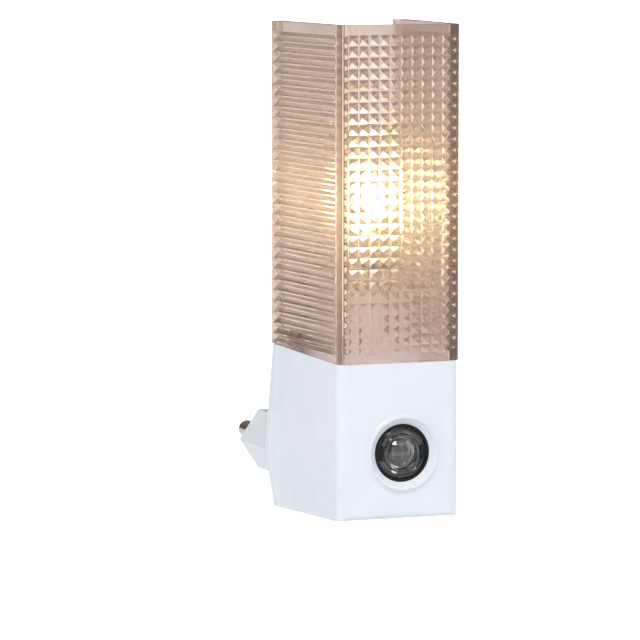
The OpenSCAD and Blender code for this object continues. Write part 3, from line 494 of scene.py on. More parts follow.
def box_shape(low, high):
    """A plain box between two corners, still open for editing."""
    shape = bmesh.new()
    bmesh.ops.create_cube(shape, size=1)
    for corner in shape.verts:
        corner.co = [(l + h) / 2 + c * (h - l) for l, h, c in zip(low, high, corner.co)]
    return shape


def block(name, low, high):
    """A plain box used as a cutter."""
    shape = box_shape(low, high)
    mesh = bpy.data.meshes.new(name)
    shape.to_mesh(mesh)
    shape.free()
    cutter = bpy.data.objects.new(name, mesh)
    bpy.context.scene.collection.objects.link(cutter)
    return cutter


def finished_mesh(thing):
    """The mesh of an object with its modifiers applied. The object itself is removed."""
    seen = thing.evaluated_get(bpy.context.evaluated_depsgraph_get())
    mesh = bpy.data.meshes.new_from_object(seen)
    bpy.data.objects.remove(thing)
    return mesh


lens_blank = bpy.data.objects.new("lens_blank", lens_mesh)
bpy.context.scene.collection.objects.link(lens_blank)
notch_cutters = []
for side in (-1, 1):
    notch_middle = SENSOR_X + side * (lens_radius - LENS_NOTCH_DEPTH / 2 + MM)
    notch_half = LENS_NOTCH_DEPTH / 2 + MM
    cutter = block(
        "notch_cutter",
        (notch_middle - notch_half, -lens_top - MM, SENSOR_Z - LENS_NOTCH_HEIGHT / 2),
        (notch_middle + notch_half, -lens_back + MM, SENSOR_Z + LENS_NOTCH_HEIGHT / 2),
    )
    notch = lens_blank.modifiers.new("notch", "BOOLEAN")
    notch.operation = "DIFFERENCE"
    notch.solver = "EXACT"
    notch.object = cutter
    notch_cutters.append(cutter)
lens_cut = finished_mesh(lens_blank)
for cutter in notch_cutters:
    bpy.data.objects.remove(cutter)
lens_cut.set_sharp_from_angle(angle=math.radians(28))


def clear_surface_group():
    """Clear plastic or glass: faint flow lines in the surface and a few dull smears."""
    group = bpy.data.node_groups.new("clear_surface", "ShaderNodeTree")
    group_sockets(
        group,
        [
            ("Roughness", "NodeSocketFloat", 0.0),
            ("Smear", "NodeSocketFloat", 0.03),
            ("Flow", "NodeSocketFloat", 0.05),
            ("Scale", "NodeSocketFloat", 1.0),
        ],
        [("Roughness", "NodeSocketFloat"), ("Normal", "NodeSocketVector")],
    )
    nodes, links = group.nodes, group.links
    inside = nodes.new("NodeGroupInput")
    outside = nodes.new("NodeGroupOutput")
    place = nodes.new("ShaderNodeTexCoord")
    sized = nodes.new("ShaderNodeVectorMath")
    sized.operation = "SCALE"
    links.new(place.outputs["Object"], sized.inputs[0])
    links.new(inside.outputs["Scale"], sized.inputs["Scale"])
    flow = nodes.new("ShaderNodeTexNoise")
    flow.inputs["Scale"].default_value = 90
    flow.inputs["Detail"].default_value = 2
    flow.inputs["Distortion"].default_value = 0.8
    links.new(sized.outputs[0], flow.inputs["Vector"])
    smear = nodes.new("ShaderNodeMapRange")
    smear.inputs["From Min"].default_value = 0.5
    smear.inputs["From Max"].default_value = 0.8
    links.new(flow.outputs["Fac"], smear.inputs["Value"])
    rough = nodes.new("ShaderNodeMath")
    rough.operation = "MULTIPLY_ADD"
    links.new(smear.outputs["Result"], rough.inputs[0])
    links.new(inside.outputs["Smear"], rough.inputs[1])
    links.new(inside.outputs["Roughness"], rough.inputs[2])
    links.new(rough.outputs[0], outside.inputs["Roughness"])
    bump = nodes.new("ShaderNodeBump")
    bump.inputs["Distance"].default_value = 0.1 * MM
    links.new(inside.outputs["Flow"], bump.inputs["Strength"])
    links.new(flow.outputs["Fac"], bump.inputs["Height"])
    links.new(bump.outputs[0], outside.inputs["Normal"])
    return group


clear_surface = clear_surface_group()


def clear(name, colour, refraction, roughness=0.0, smear=0.03, flow=0.05, scale=1.0):
    """A clear finish with its own tint."""
    material = bpy.data.materials.new(name)
    material.use_nodes = True
    nodes, links = material.node_tree.nodes, material.node_tree.links
    shader = nodes["Principled BSDF"]
    shader.inputs["Base Color"].default_value = colour
    shader.inputs["Transmission Weight"].default_value = 1.0
    shader.inputs["IOR"].default_value = refraction
    surface = nodes.new("ShaderNodeGroup")
    surface.node_tree = clear_surface
    surface.inputs["Roughness"].default_value = roughness
    surface.inputs["Smear"].default_value = smear
    surface.inputs["Flow"].default_value = flow
    surface.inputs["Scale"].default_value = scale
    links.new(surface.outputs["Roughness"], shader.inputs["Roughness"])
    links.new(surface.outputs["Normal"], shader.inputs["Normal"])
    return material, shader


lens_clear, lens_shader = clear("lens_clear", (0.97, 0.98, 0.98, 1), 1.49, smear=0.02, flow=0.02)
lens_shader.inputs["Coat Weight"].default_value = 1.0
lens_shader.inputs["Coat Roughness"].default_value = 0.02
lens_shader.inputs["Coat IOR"].default_value = 1.65
lens = add_piece("stepped_lens", lens_cut, lens_clear, "housing", "lens_clear", "sensor_lens")
lens.visible_shadow = False

sensor_black, cup_shader = moulded(
    "sensor_black", (0.004, 0.005, 0.005, 1), (0.007, 0.008, 0.008, 1), 0.22, smear=0.1, grain=0.3
)
cup_shader.inputs["Specular IOR Level"].default_value = 0.3
dress("sensor_cup", sensor_black)

# The resistor's face: dark film between two combs of bright metal
ldr_face, ldr_shader = moulded(
    "ldr_face", (0.02, 0.012, 0.01, 1), (0.035, 0.02, 0.016, 1), 0.3, smear=0.1, grain=0.3
)
ldr_nodes, ldr_links = ldr_face.node_tree.nodes, ldr_face.node_tree.links
ldr_place = ldr_nodes.new("ShaderNodeTexCoord")
ldr_lines = ldr_nodes.new("ShaderNodeTexWave")
ldr_lines.bands_direction = "X"
ldr_lines.inputs["Scale"].default_value = 320
ldr_lines.inputs["Distortion"].default_value = 3.0
ldr_lines.inputs["Detail Scale"].default_value = 300
ldr_links.new(ldr_place.outputs["Object"], ldr_lines.inputs["Vector"])
ldr_comb = ldr_nodes.new("ShaderNodeMapRange")
ldr_comb.inputs["From Min"].default_value = 0.78
ldr_comb.inputs["From Max"].default_value = 0.86
ldr_links.new(ldr_lines.outputs["Fac"], ldr_comb.inputs["Value"])
ldr_tone = ldr_nodes.new("ShaderNodeMix")
ldr_tone.data_type = "RGBA"
ldr_tone.inputs[7].default_value = (0.24, 0.22, 0.19, 1)
ldr_links.new(ldr_comb.outputs["Result"], ldr_tone.inputs[0])
ldr_links.new(
    next(n for n in ldr_nodes if n.type == "GROUP").outputs["Color"], ldr_tone.inputs[6]
)
ldr_links.new(ldr_tone.outputs[2], ldr_shader.inputs["Base Color"])
dress("light_sensor", ldr_face)

# ---- Control board ----
# A small tan board stands on four posts behind the sensor, held by two screws. It carries the parts that
# turn the lamp on at dusk: resistors, diodes, a capacitor in its sleeve and a triac.
board_tan, _ = moulded(
    "board_tan", (0.50, 0.34, 0.15, 1), (0.40, 0.26, 0.11, 1), 0.45, smear=0.15, grain=0.5, scale=3
)
dress("control_board", board_tan)

capacitor_sleeve, _ = moulded(
    "capacitor_sleeve", (0.012, 0.02, 0.08, 1), (0.02, 0.03, 0.11, 1), 0.22, smear=0.1, grain=0.2
)
dress("capacitor", capacitor_sleeve)


def banded(name, base, bands, low, high, roughness):
    """A lacquered body with colour bands across its height, between the heights low and high."""
    material, shader = moulded(name, base, [c * 0.85 for c in base[:3]] + [1], roughness, grain=0.2)
    nodes, links = material.node_tree.nodes, material.node_tree.links
    place = nodes.new("ShaderNodeTexCoord")
    split = nodes.new("ShaderNodeSeparateXYZ")
    links.new(place.outputs["Object"], split.inputs[0])
    height = nodes.new("ShaderNodeMapRange")
    height.inputs["From Min"].default_value = low
    height.inputs["From Max"].default_value = high
    links.new(split.outputs["Z"], height.inputs["Value"])
    colour = next(n for n in nodes if n.type == "GROUP").outputs["Color"]
    for middle, half, band in bands:
        away = nodes.new("ShaderNodeMath")
        away.operation = "COMPARE"
        away.inputs[1].default_value = middle
        away.inputs[2].default_value = half
        links.new(height.outputs["Result"], away.inputs[0])
        painted = nodes.new("ShaderNodeMix")
        painted.data_type = "RGBA"
        painted.inputs[7].default_value = band
        links.new(away.outputs[0], painted.inputs[0])
        links.new(colour, painted.inputs[6])
        colour = painted.outputs[2]
    links.new(colour, shader.inputs["Base Color"])
    return material


resistor_low, resistor_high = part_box("resistors")
resistor_body = banded(
    "resistor_body",
    (0.55, 0.38, 0.20, 1),
    [
        (0.38, 0.03, (0.30, 0.05, 0.02, 1)),
        (0.50, 0.03, (0.02, 0.02, 0.02, 1)),
        (0.62, 0.03, (0.75, 0.35, 0.03, 1)),
    ],
    resistor_low.z,
    resistor_high.z,
    0.3,
)
dress("resistors", resistor_body)
diode_low, diode_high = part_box("rectifier_diodes")
diode_body = banded(
    "diode_body",
    (0.02, 0.02, 0.022, 1),
    [(0.66, 0.045, (0.55, 0.56, 0.57, 1))],
    diode_low.z,
    diode_high.z,
    0.25,
)
dress("rectifier_diodes", diode_body)
triac_body, _ = moulded(
    "triac_body", (0.018, 0.018, 0.02, 1), (0.03, 0.03, 0.032, 1), 0.5, smear=0.1, grain=0.6, scale=3
)
dress("triac", triac_body)


def drawn_metal_group():
    """Worked metal: fine scratches along one way and a patchy dullness."""
    group = bpy.data.node_groups.new("drawn_metal", "ShaderNodeTree")
    group_sockets(
        group,
        [
            ("Color", "NodeSocketColor", (0.8, 0.8, 0.8, 1)),
            ("Dull", "NodeSocketColor", (0.6, 0.6, 0.6, 1)),
            ("Roughness", "NodeSocketFloat", 0.2),
            ("Scratch", "NodeSocketFloat", 0.15),
            ("Stretch", "NodeSocketVector", (1, 1, 1)),
        ],
        [
            ("Color", "NodeSocketColor"),
            ("Roughness", "NodeSocketFloat"),
            ("Normal", "NodeSocketVector"),
        ],
    )
    nodes, links = group.nodes, group.links
    inside = nodes.new("NodeGroupInput")
    outside = nodes.new("NodeGroupOutput")
    place = nodes.new("ShaderNodeTexCoord")
    stretched = nodes.new("ShaderNodeVectorMath")
    stretched.operation = "MULTIPLY"
    links.new(place.outputs["Object"], stretched.inputs[0])
    links.new(inside.outputs["Stretch"], stretched.inputs[1])
    lines = nodes.new("ShaderNodeTexNoise")
    lines.inputs["Scale"].default_value = 2500
    lines.inputs["Detail"].default_value = 2
    links.new(stretched.outputs[0], lines.inputs["Vector"])
    patches = nodes.new("ShaderNodeTexNoise")
    patches.inputs["Scale"].default_value = 350
    patches.inputs["Detail"].default_value = 3
    links.new(place.outputs["Object"], patches.inputs["Vector"])
    tone = nodes.new("ShaderNodeMix")
    tone.data_type = "RGBA"
    links.new(patches.outputs["Fac"], tone.inputs[0])
    links.new(inside.outputs["Color"], tone.inputs[6])
    links.new(inside.outputs["Dull"], tone.inputs[7])
    links.new(tone.outputs[2], outside.inputs["Color"])
    rough = nodes.new("ShaderNodeMath")
    rough.operation = "MULTIPLY_ADD"
    rough.inputs[1].default_value = 0.2
    links.new(patches.outputs["Fac"], rough.inputs[0])
    links.new(inside.outputs["Roughness"], rough.inputs[2])
    links.new(rough.outputs[0], outside.inputs["Roughness"])
    bump = nodes.new("ShaderNodeBump")
    bump.inputs["Distance"].default_value = 0.02 * MM
    links.new(inside.outputs["Scratch"], bump.inputs["Strength"])
    links.new(lines.outputs["Fac"], bump.inputs["Height"])
    links.new(bump.outputs[0], outside.inputs["Normal"])
    return group


drawn_metal = drawn_metal_group()


def metal(name, colour, dull, roughness, scratch=0.3, stretch=(1, 1, 1)):
    """A metal finish. The stretch is small along the way its scratches run."""
    material = bpy.data.materials.new(name)
    material.use_nodes = True
    nodes, links = material.node_tree.nodes, material.node_tree.links
    shader = nodes["Principled BSDF"]
    shader.inputs["Metallic"].default_value = 1.0
    surface = nodes.new("ShaderNodeGroup")
    surface.node_tree = drawn_metal
    surface.inputs["Color"].default_value = colour
    surface.inputs["Dull"].default_value = dull
    surface.inputs["Roughness"].default_value = roughness
    surface.inputs["Scratch"].default_value = scratch
    surface.inputs["Stretch"].default_value = stretch
    links.new(surface.outputs["Color"], shader.inputs["Base Color"])
    links.new(surface.outputs["Roughness"], shader.inputs["Roughness"])
    links.new(surface.outputs["Normal"], shader.inputs["Normal"])
    return material


screw_steel = metal("screw_steel", (0.62, 0.61, 0.60, 1), (0.42, 0.41, 0.40, 1), 0.22)
dress("board_screws", screw_steel)

# ---- Rear cover and plug ----
# The cover closes the housing's back. Its six-sided flange and the hollow plug nose are one moulding. A
# plate locks two nickel-plated pins with insulating sleeves in the nose, and three screws hold it all.
COVER_EDGE = 0.3 * MM
cover_white, cover_shader = moulded(
    "cover_white", HOUSING_WHITE, HOUSING_SHADE, 0.2, smear=0.05, grain=0.12
)
cover_shader.inputs["Coat Weight"].default_value = 0.25
softened("rear_cover", "plug_cover", COVER_EDGE, cover_white, "housing", "cover_white")
dress("cover_screws", screw_steel)
pin_nickel = metal(
    "pin_nickel", (0.78, 0.75, 0.68, 1), (0.60, 0.56, 0.48, 1), 0.12, scratch=0.4, stretch=(1, 0.05, 1)
)
dress("plug_pins", pin_nickel)
sleeve_grey, _ = moulded(
    "sleeve_grey", (0.03, 0.03, 0.032, 1), (0.045, 0.045, 0.047, 1), 0.5, smear=0.1, grain=0.5, scale=2
)
dress("pin_sleeves", sleeve_grey)
retainer_plastic, _ = moulded(
    "retainer_plastic", (0.70, 0.69, 0.65, 1), (0.62, 0.61, 0.57, 1), 0.45, grain=0.3
)
dress("pin_retainer", retainer_plastic)
lead_brown, _ = moulded(
    "lead_brown", (0.09, 0.03, 0.012, 1), (0.12, 0.045, 0.02, 1), 0.4, grain=0.3, scale=2
)
dress("pin_leads", lead_brown)

# ---- Lamp holder ----
# An ivory barrel of heat-proof plastic hangs through the deck, and a gripped ring screwed on from above
# holds it. Inside are the rolled brass thread and the sprung contact under the lamp's tip.
THREAD_PITCH = 2.82 * MM
THREAD_DEPTH = 0.55 * MM
THREAD_ROW = 0.235 * MM
THREAD_RUN_OUT = 1.2 * MM
LAMP_Y = -36.5 * MM
TURN_STEPS = 72
HOLDER_EDGE = 0.3 * MM
RING_EDGE = 0.25 * MM

holder_ivory, _ = moulded(
    "holder_ivory", (0.84, 0.84, 0.82, 1), (0.78, 0.78, 0.76, 1), 0.35, smear=0.1, grain=0.4
)
softened("lamp_holder", "holder_barrel", HOLDER_EDGE, holder_ivory, "housing", "holder_ivory")
softened("holder_ring", "gripped_ring", RING_EDGE, holder_ivory, "housing", "ring_ivory")


def on_lamp_axis(x, y, height):
    return (x, LAMP_Y + y, height)


def maths_for(tree):
    """A short way to add a maths node to a tree. Each term is a number or another node's socket."""

    def maths(operation, *terms):
        node = tree.nodes.new("ShaderNodeMath")
        node.operation = operation
        for socket, term in zip(node.inputs, terms):
            if isinstance(term, (int, float)):
                socket.default_value = term
            else:
                tree.links.new(term, socket)
        return node.outputs[0]

    return maths


def close_tree(tree, geometry, inside, outside):
    """Ends a tree: makes its instances real and gives them the piece's material."""
    real = tree.nodes.new("GeometryNodeRealizeInstances")
    tree.links.new(geometry, real.inputs[0])
    coated = tree.nodes.new("GeometryNodeSetMaterial")
    tree.links.new(real.outputs[0], coated.inputs["Geometry"])
    tree.links.new(inside.outputs["Material"], coated.inputs["Material"])
    tree.links.new(coated.outputs[0], outside.inputs["Geometry"])


def rolled_thread_tree():
    """Rolls a thread into a turned sheet: moves each point towards the axis by a wave that winds up it."""
    tree = bpy.data.node_groups.new("rolled_thread", "GeometryNodeTree")
    group_sockets(
        tree,
        [
            ("Geometry", "NodeSocketGeometry", None),
            ("Pitch", "NodeSocketFloat", THREAD_PITCH),
            ("Depth", "NodeSocketFloat", THREAD_DEPTH),
            ("From Height", "NodeSocketFloat", 0.0),
            ("To Height", "NodeSocketFloat", 1.0),
            ("Run Out", "NodeSocketFloat", THREAD_RUN_OUT),
            ("Axis", "NodeSocketVector", (0, LAMP_Y, 0)),
            ("Material", "NodeSocketMaterial", None),
        ],
        [("Geometry", "NodeSocketGeometry")],
    )
    nodes, links = tree.nodes, tree.links
    inside = nodes.new("NodeGroupInput")
    outside = nodes.new("NodeGroupOutput")
    maths = maths_for(tree)
    position = nodes.new("GeometryNodeInputPosition")
    away = nodes.new("ShaderNodeVectorMath")
    away.operation = "SUBTRACT"
    links.new(position.outputs[0], away.inputs[0])
    links.new(inside.outputs["Axis"], away.inputs[1])
    parts = nodes.new("ShaderNodeSeparateXYZ")
    links.new(away.outputs[0], parts.inputs[0])
    turn = maths("DIVIDE", maths("ARCTAN2", parts.outputs["Y"], parts.outputs["X"]), 2 * math.pi)
    climb = maths("DIVIDE", parts.outputs["Z"], inside.outputs["Pitch"])
    wave = maths("COSINE", maths("MULTIPLY", maths("SUBTRACT", turn, climb), 2 * math.pi))
    dip = maths("MULTIPLY_ADD", wave, -0.5, 0.5)
    rise = maths(
        "DIVIDE",
        maths("SUBTRACT", parts.outputs["Z"], inside.outputs["From Height"]),
        inside.outputs["Run Out"],
    )
    fall = maths(
        "DIVIDE",
        maths("SUBTRACT", inside.outputs["To Height"], parts.outputs["Z"]),
        inside.outputs["Run Out"],
    )
    fade = nodes.new("ShaderNodeClamp")
    links.new(maths("MINIMUM", rise, fall), fade.inputs["Value"])
    depth = maths(
        "MULTIPLY", maths("MULTIPLY", dip, fade.outputs[0]), inside.outputs["Depth"]
    )
    flat = nodes.new("ShaderNodeVectorMath")
    flat.operation = "MULTIPLY"
    flat.inputs[1].default_value = (1, 1, 0)
    links.new(away.outputs[0], flat.inputs[0])
    outwards = nodes.new("ShaderNodeVectorMath")
    outwards.operation = "NORMALIZE"
    links.new(flat.outputs[0], outwards.inputs[0])
    shift = nodes.new("ShaderNodeVectorMath")
    shift.operation = "SCALE"
    links.new(outwards.outputs[0], shift.inputs[0])
    links.new(maths("MULTIPLY", depth, -1), shift.inputs["Scale"])
    moved = nodes.new("GeometryNodeSetPosition")
    links.new(inside.outputs["Geometry"], moved.inputs["Geometry"])
    links.new(shift.outputs[0], moved.inputs["Offset"])
    close_tree(tree, moved.outputs[0], inside, outside)
    return tree


rolled_thread = rolled_thread_tree()


def grown(mesh, tree, **values):
    """Runs a geometry tree on a mesh with the given inputs and gives back the plain mesh it makes."""
    carrier = bpy.data.objects.new("carrier", mesh)
    bpy.context.scene.collection.objects.link(carrier)
    maker = carrier.modifiers.new("maker", "NODES")
    maker.node_group = tree
    for socket in tree.interface.items_tree:
        key = socket.name.replace(" ", "_").lower()
        if socket.item_type == "SOCKET" and socket.in_out == "INPUT" and key in values:
            maker[socket.identifier] = values[key]
    carrier.update_tag()
    return finished_mesh(carrier)


def tube_profile(outer, inner, low, high):
    """Outline of a thin turned wall with enough rows for a thread."""
    rows = max(2, round((high - low) / THREAD_ROW))
    heights = [low + (high - low) * i / rows for i in range(rows + 1)]
    return [(outer, z) for z in heights] + [(inner, z) for z in reversed(heights)]


shell_brass = metal(
    "shell_brass", (0.80, 0.58, 0.24, 1), (0.58, 0.40, 0.15, 1), 0.2, stretch=(1, 1, 0.1)
)
SHELL_HEIGHT = 14 * MM
SHELL_WALL = 0.4 * MM
SHELL_THREAD_START = 0.8 * MM
SHELL_THREAD_END = 0.6 * MM
shell_low, shell_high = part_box("threaded_shell")
shell_outer = shell_high.x
shell_bottom = shell_high.z - SHELL_HEIGHT
shell_sheet = turned(
    tube_profile(shell_outer, shell_outer - SHELL_WALL, shell_bottom, shell_high.z),
    TURN_STEPS,
    on_lamp_axis,
)
shell_mesh = grown(
    shell_sheet,
    rolled_thread,
    pitch=THREAD_PITCH,
    depth=THREAD_DEPTH,
    from_height=shell_bottom + SHELL_THREAD_START,
    to_height=shell_high.z - SHELL_THREAD_END,
    run_out=THREAD_RUN_OUT,
    axis=(0, LAMP_Y, 0),
    material=shell_brass,
)


def joined(*meshes):
    """One mesh out of several, each already in its place."""
    shape = bmesh.new()
    for mesh in meshes:
        shape.from_mesh(mesh)
    together = bpy.data.meshes.new("together")
    shape.to_mesh(together)
    shape.free()
    return together


def plate(low, high, edge):
    """A box with bevelled edges."""
    shape = box_shape(low, high)
    bmesh.ops.bevel(
        shape, geom=shape.edges[:], offset=edge, segments=2, affect="EDGES", profile=0.5
    )
    mesh = bpy.data.meshes.new("plate")
    shape.to_mesh(mesh)
    shape.free()
    mesh.shade_smooth()
    return mesh


TERMINAL_X = 5.4 * MM
TERMINAL_HALF = 1.2 * MM
TERMINAL_EDGE = 0.08 * MM
terminal_mesh = plate(
    (TERMINAL_X - SHELL_WALL / 2, LAMP_Y - TERMINAL_HALF, shell_low.z),
    (TERMINAL_X + SHELL_WALL / 2, LAMP_Y + TERMINAL_HALF, shell_bottom + SHELL_WALL),
    TERMINAL_EDGE,
)
tab_mesh = plate(
    (TERMINAL_X, LAMP_Y - TERMINAL_HALF, shell_bottom),
    (shell_outer - SHELL_WALL / 2, LAMP_Y + TERMINAL_HALF, shell_bottom + SHELL_WALL),
    TERMINAL_EDGE,
)
add_piece(
    "rolled_shell",
    joined(shell_mesh, terminal_mesh, tab_mesh),
    shell_brass,
    "housing",
    "shell_brass",
    "threaded_shell",
)
contact_bronze = metal(
    "contact_bronze", (0.72, 0.45, 0.22, 1), (0.50, 0.30, 0.14, 1), 0.25, stretch=(0.1, 1, 1)
)
dress("centre_contact", contact_bronze)
lead_blue, _ = moulded(
    "lead_blue", (0.012, 0.05, 0.20, 1), (0.02, 0.07, 0.25, 1), 0.4, grain=0.3, scale=2
)
dress("holder_leads", lead_blue)

# ---- Lamp ----
# A small screw-in lamp, lit: a lightly frosted glass envelope on a glass stem, a wound filament on two
# support wires, and a nickel-plated cap with a rolled thread, a black insulator and a soldered tip.
CAP_WALL = 0.4 * MM
cap_low, cap_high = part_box("bulb_cap")
cap_skirt = cap_high.x
CAP_RADIUS = 6.8 * MM
CAP_THREAD_HEIGHT = 15 * MM
CAP_SKIRT_STRAIGHT = 3 * MM
CAP_ROUND = 0.15 * MM
CAP_FLARE = 0.2 * MM
CAP_LIP = 0.1 * MM
CAP_THREAD_START = 2.1 * MM
CAP_THREAD_END = 0.3 * MM
cap_thread_top = cap_low.z + CAP_THREAD_HEIGHT
cap_outside = [
    (CAP_RADIUS, cap_low.z + THREAD_ROW * i)
    for i in range(round(CAP_THREAD_HEIGHT / THREAD_ROW))
]
cap_outside += [
    (CAP_RADIUS, cap_thread_top),
    (cap_skirt - CAP_ROUND, cap_high.z - CAP_SKIRT_STRAIGHT - CAP_ROUND),
    (cap_skirt, cap_high.z - CAP_SKIRT_STRAIGHT + CAP_FLARE),
    (cap_skirt, cap_high.z - CAP_ROUND),
    (cap_skirt - CAP_LIP, cap_high.z),
    (cap_skirt - CAP_WALL + CAP_LIP, cap_high.z),
]
cap_inside = [(radius - CAP_WALL, height) for radius, height in cap_outside[:-2]]
cap_metal = metal(
    "cap_metal", (0.74, 0.72, 0.68, 1), (0.52, 0.50, 0.47, 1), 0.2, stretch=(1, 1, 0.1)
)
cap_mesh = grown(
    turned(cap_outside + cap_inside[::-1], TURN_STEPS, on_lamp_axis),
    rolled_thread,
    pitch=THREAD_PITCH,
    depth=THREAD_DEPTH,
    from_height=cap_low.z + CAP_THREAD_START,
    to_height=cap_thread_top - CAP_THREAD_END,
    run_out=THREAD_RUN_OUT,
    axis=(0, LAMP_Y, 0),
    material=cap_metal,
)
add_piece("threaded_cap", cap_mesh, cap_metal, "lamp", "cap_metal", "bulb_cap")
insulator_black, _ = moulded(
    "insulator_black", (0.008, 0.008, 0.01, 1), (0.02, 0.02, 0.024, 1), 0.12, smear=0.15, grain=0.3
)
dress("bulb_insulator", insulator_black)
contact_solder = metal("contact_solder", (0.62, 0.62, 0.62, 1), (0.40, 0.40, 0.40, 1), 0.35)
dress("bulb_contact", contact_solder)

BULB_FROST = 0.12
BULB_RADIUS = 8 * MM
BULB_WALL = 0.7 * MM
BULB_TOP = 75 * MM
NECK_RADIUS = 7.85 * MM
NECK_HEIGHT = 2.5 * MM
SHOULDER_HEIGHT = 7 * MM
SHOULDER_STEPS = 12
TOP_STEPS = 24
GLOW_COLOUR = (1.0, 0.88, 0.42, 1)
GLOW_STRENGTH = 5.5
GLOW_REACH = (8.5 * MM, 9 * MM)
GLOW_CORE_SHARE = 0.5
GLOW_HEIGHT = 58.5 * MM
bulb_frost, bulb_shader = clear(
    "bulb_glass", (0.99, 0.985, 0.96, 1), 1.5, roughness=BULB_FROST, smear=0.05, flow=0.05
)
# The glass's glow is painted emission. It is a soft patch, strongest at the filament's height and drawn in
# width and height only, so it is alike on the glass's front and back. It stands in for the filament's light
# spread by the frosting
glow_nodes, glow_links = bulb_frost.node_tree.nodes, bulb_frost.node_tree.links
glow_place = glow_nodes.new("ShaderNodeTexCoord")
glow_away = glow_nodes.new("ShaderNodeVectorMath")
glow_away.operation = "SUBTRACT"
glow_away.inputs[1].default_value = (0, LAMP_Y, GLOW_HEIGHT)
glow_links.new(glow_place.outputs["Object"], glow_away.inputs[0])
glow_flat = glow_nodes.new("ShaderNodeVectorMath")
glow_flat.operation = "MULTIPLY"
glow_flat.inputs[1].default_value = (1 / GLOW_REACH[0], 0, 1 / GLOW_REACH[1])
glow_links.new(glow_away.outputs[0], glow_flat.inputs[0])
glow_far = glow_nodes.new("ShaderNodeVectorMath")
glow_far.operation = "LENGTH"
glow_links.new(glow_flat.outputs[0], glow_far.inputs[0])
glow_fall = glow_nodes.new("ShaderNodeMapRange")
glow_fall.interpolation_type = "SMOOTHSTEP"
glow_fall.inputs["From Min"].default_value = GLOW_CORE_SHARE
glow_fall.inputs["From Max"].default_value = 1.0
glow_fall.inputs["To Min"].default_value = 1.0
glow_fall.inputs["To Max"].default_value = 0.0
glow_links.new(glow_far.outputs["Value"], glow_fall.inputs["Value"])
glow_tint = glow_nodes.new("ShaderNodeMix")
glow_tint.data_type = "RGBA"
glow_tint.inputs[6].default_value = (0, 0, 0, 1)
glow_tint.inputs[7].default_value = GLOW_COLOUR
glow_links.new(glow_fall.outputs["Result"], glow_tint.inputs[0])
glow_links.new(glow_tint.outputs[2], bulb_shader.inputs["Emission Color"])
bulb_shader.inputs["Emission Strength"].default_value = GLOW_STRENGTH
bulb_low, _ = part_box("bulb_glass")


def envelope(inset):
    """Outline of the glass from its neck in the cap to the top of its dome, drawn inwards."""
    shoulder = bulb_low.z + NECK_HEIGHT
    points = [(NECK_RADIUS - inset, bulb_low.z), (NECK_RADIUS - inset, shoulder)]
    for i in range(1, SHOULDER_STEPS + 1):
        swell = (1 - math.cos(math.pi * i / SHOULDER_STEPS)) / 2
        points.append(
            (
                NECK_RADIUS + (BULB_RADIUS - NECK_RADIUS) * swell - inset,
                shoulder + SHOULDER_HEIGHT * i / SHOULDER_STEPS,
            )
        )
    for i in range(TOP_STEPS + 1):
        angle = math.pi / 2 * i / TOP_STEPS
        points.append(
            (
                max(0, (BULB_RADIUS - inset) * math.cos(angle)),
                BULB_TOP - BULB_RADIUS + (BULB_RADIUS - inset) * math.sin(angle),
            )
        )
    return points


bulb_mesh = turned(envelope(0) + envelope(BULB_WALL)[::-1], TURN_STEPS, on_lamp_axis)
bulb_mesh.set_sharp_from_angle(angle=math.radians(40))
bulb = add_piece("lamp_glass", bulb_mesh, bulb_frost, "lamp", "bulb_glass", "bulb_glass")
bulb.visible_shadow = False

stem_glass, _ = clear("stem_glass", (0.97, 0.98, 0.96, 1), 1.5, smear=0.05, flow=0.1, scale=2)
dress("bulb_stem", stem_glass)
support_nickel = metal("support_nickel", (0.55, 0.53, 0.50, 1), (0.35, 0.34, 0.32, 1), 0.3)
dress("support_wires", support_nickel)

FILAMENT_TURNS = 90
FILAMENT_COIL = 0.235 * MM
FILAMENT_WIRE = 0.055 * MM
FILAMENT_HALF = 3.5 * MM
FILAMENT_ARCH = 9 * MM
ARCH_STEPS = 48
COIL_POINTS = 10
WIRE_SIDES = 6
filament_low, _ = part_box("filament")


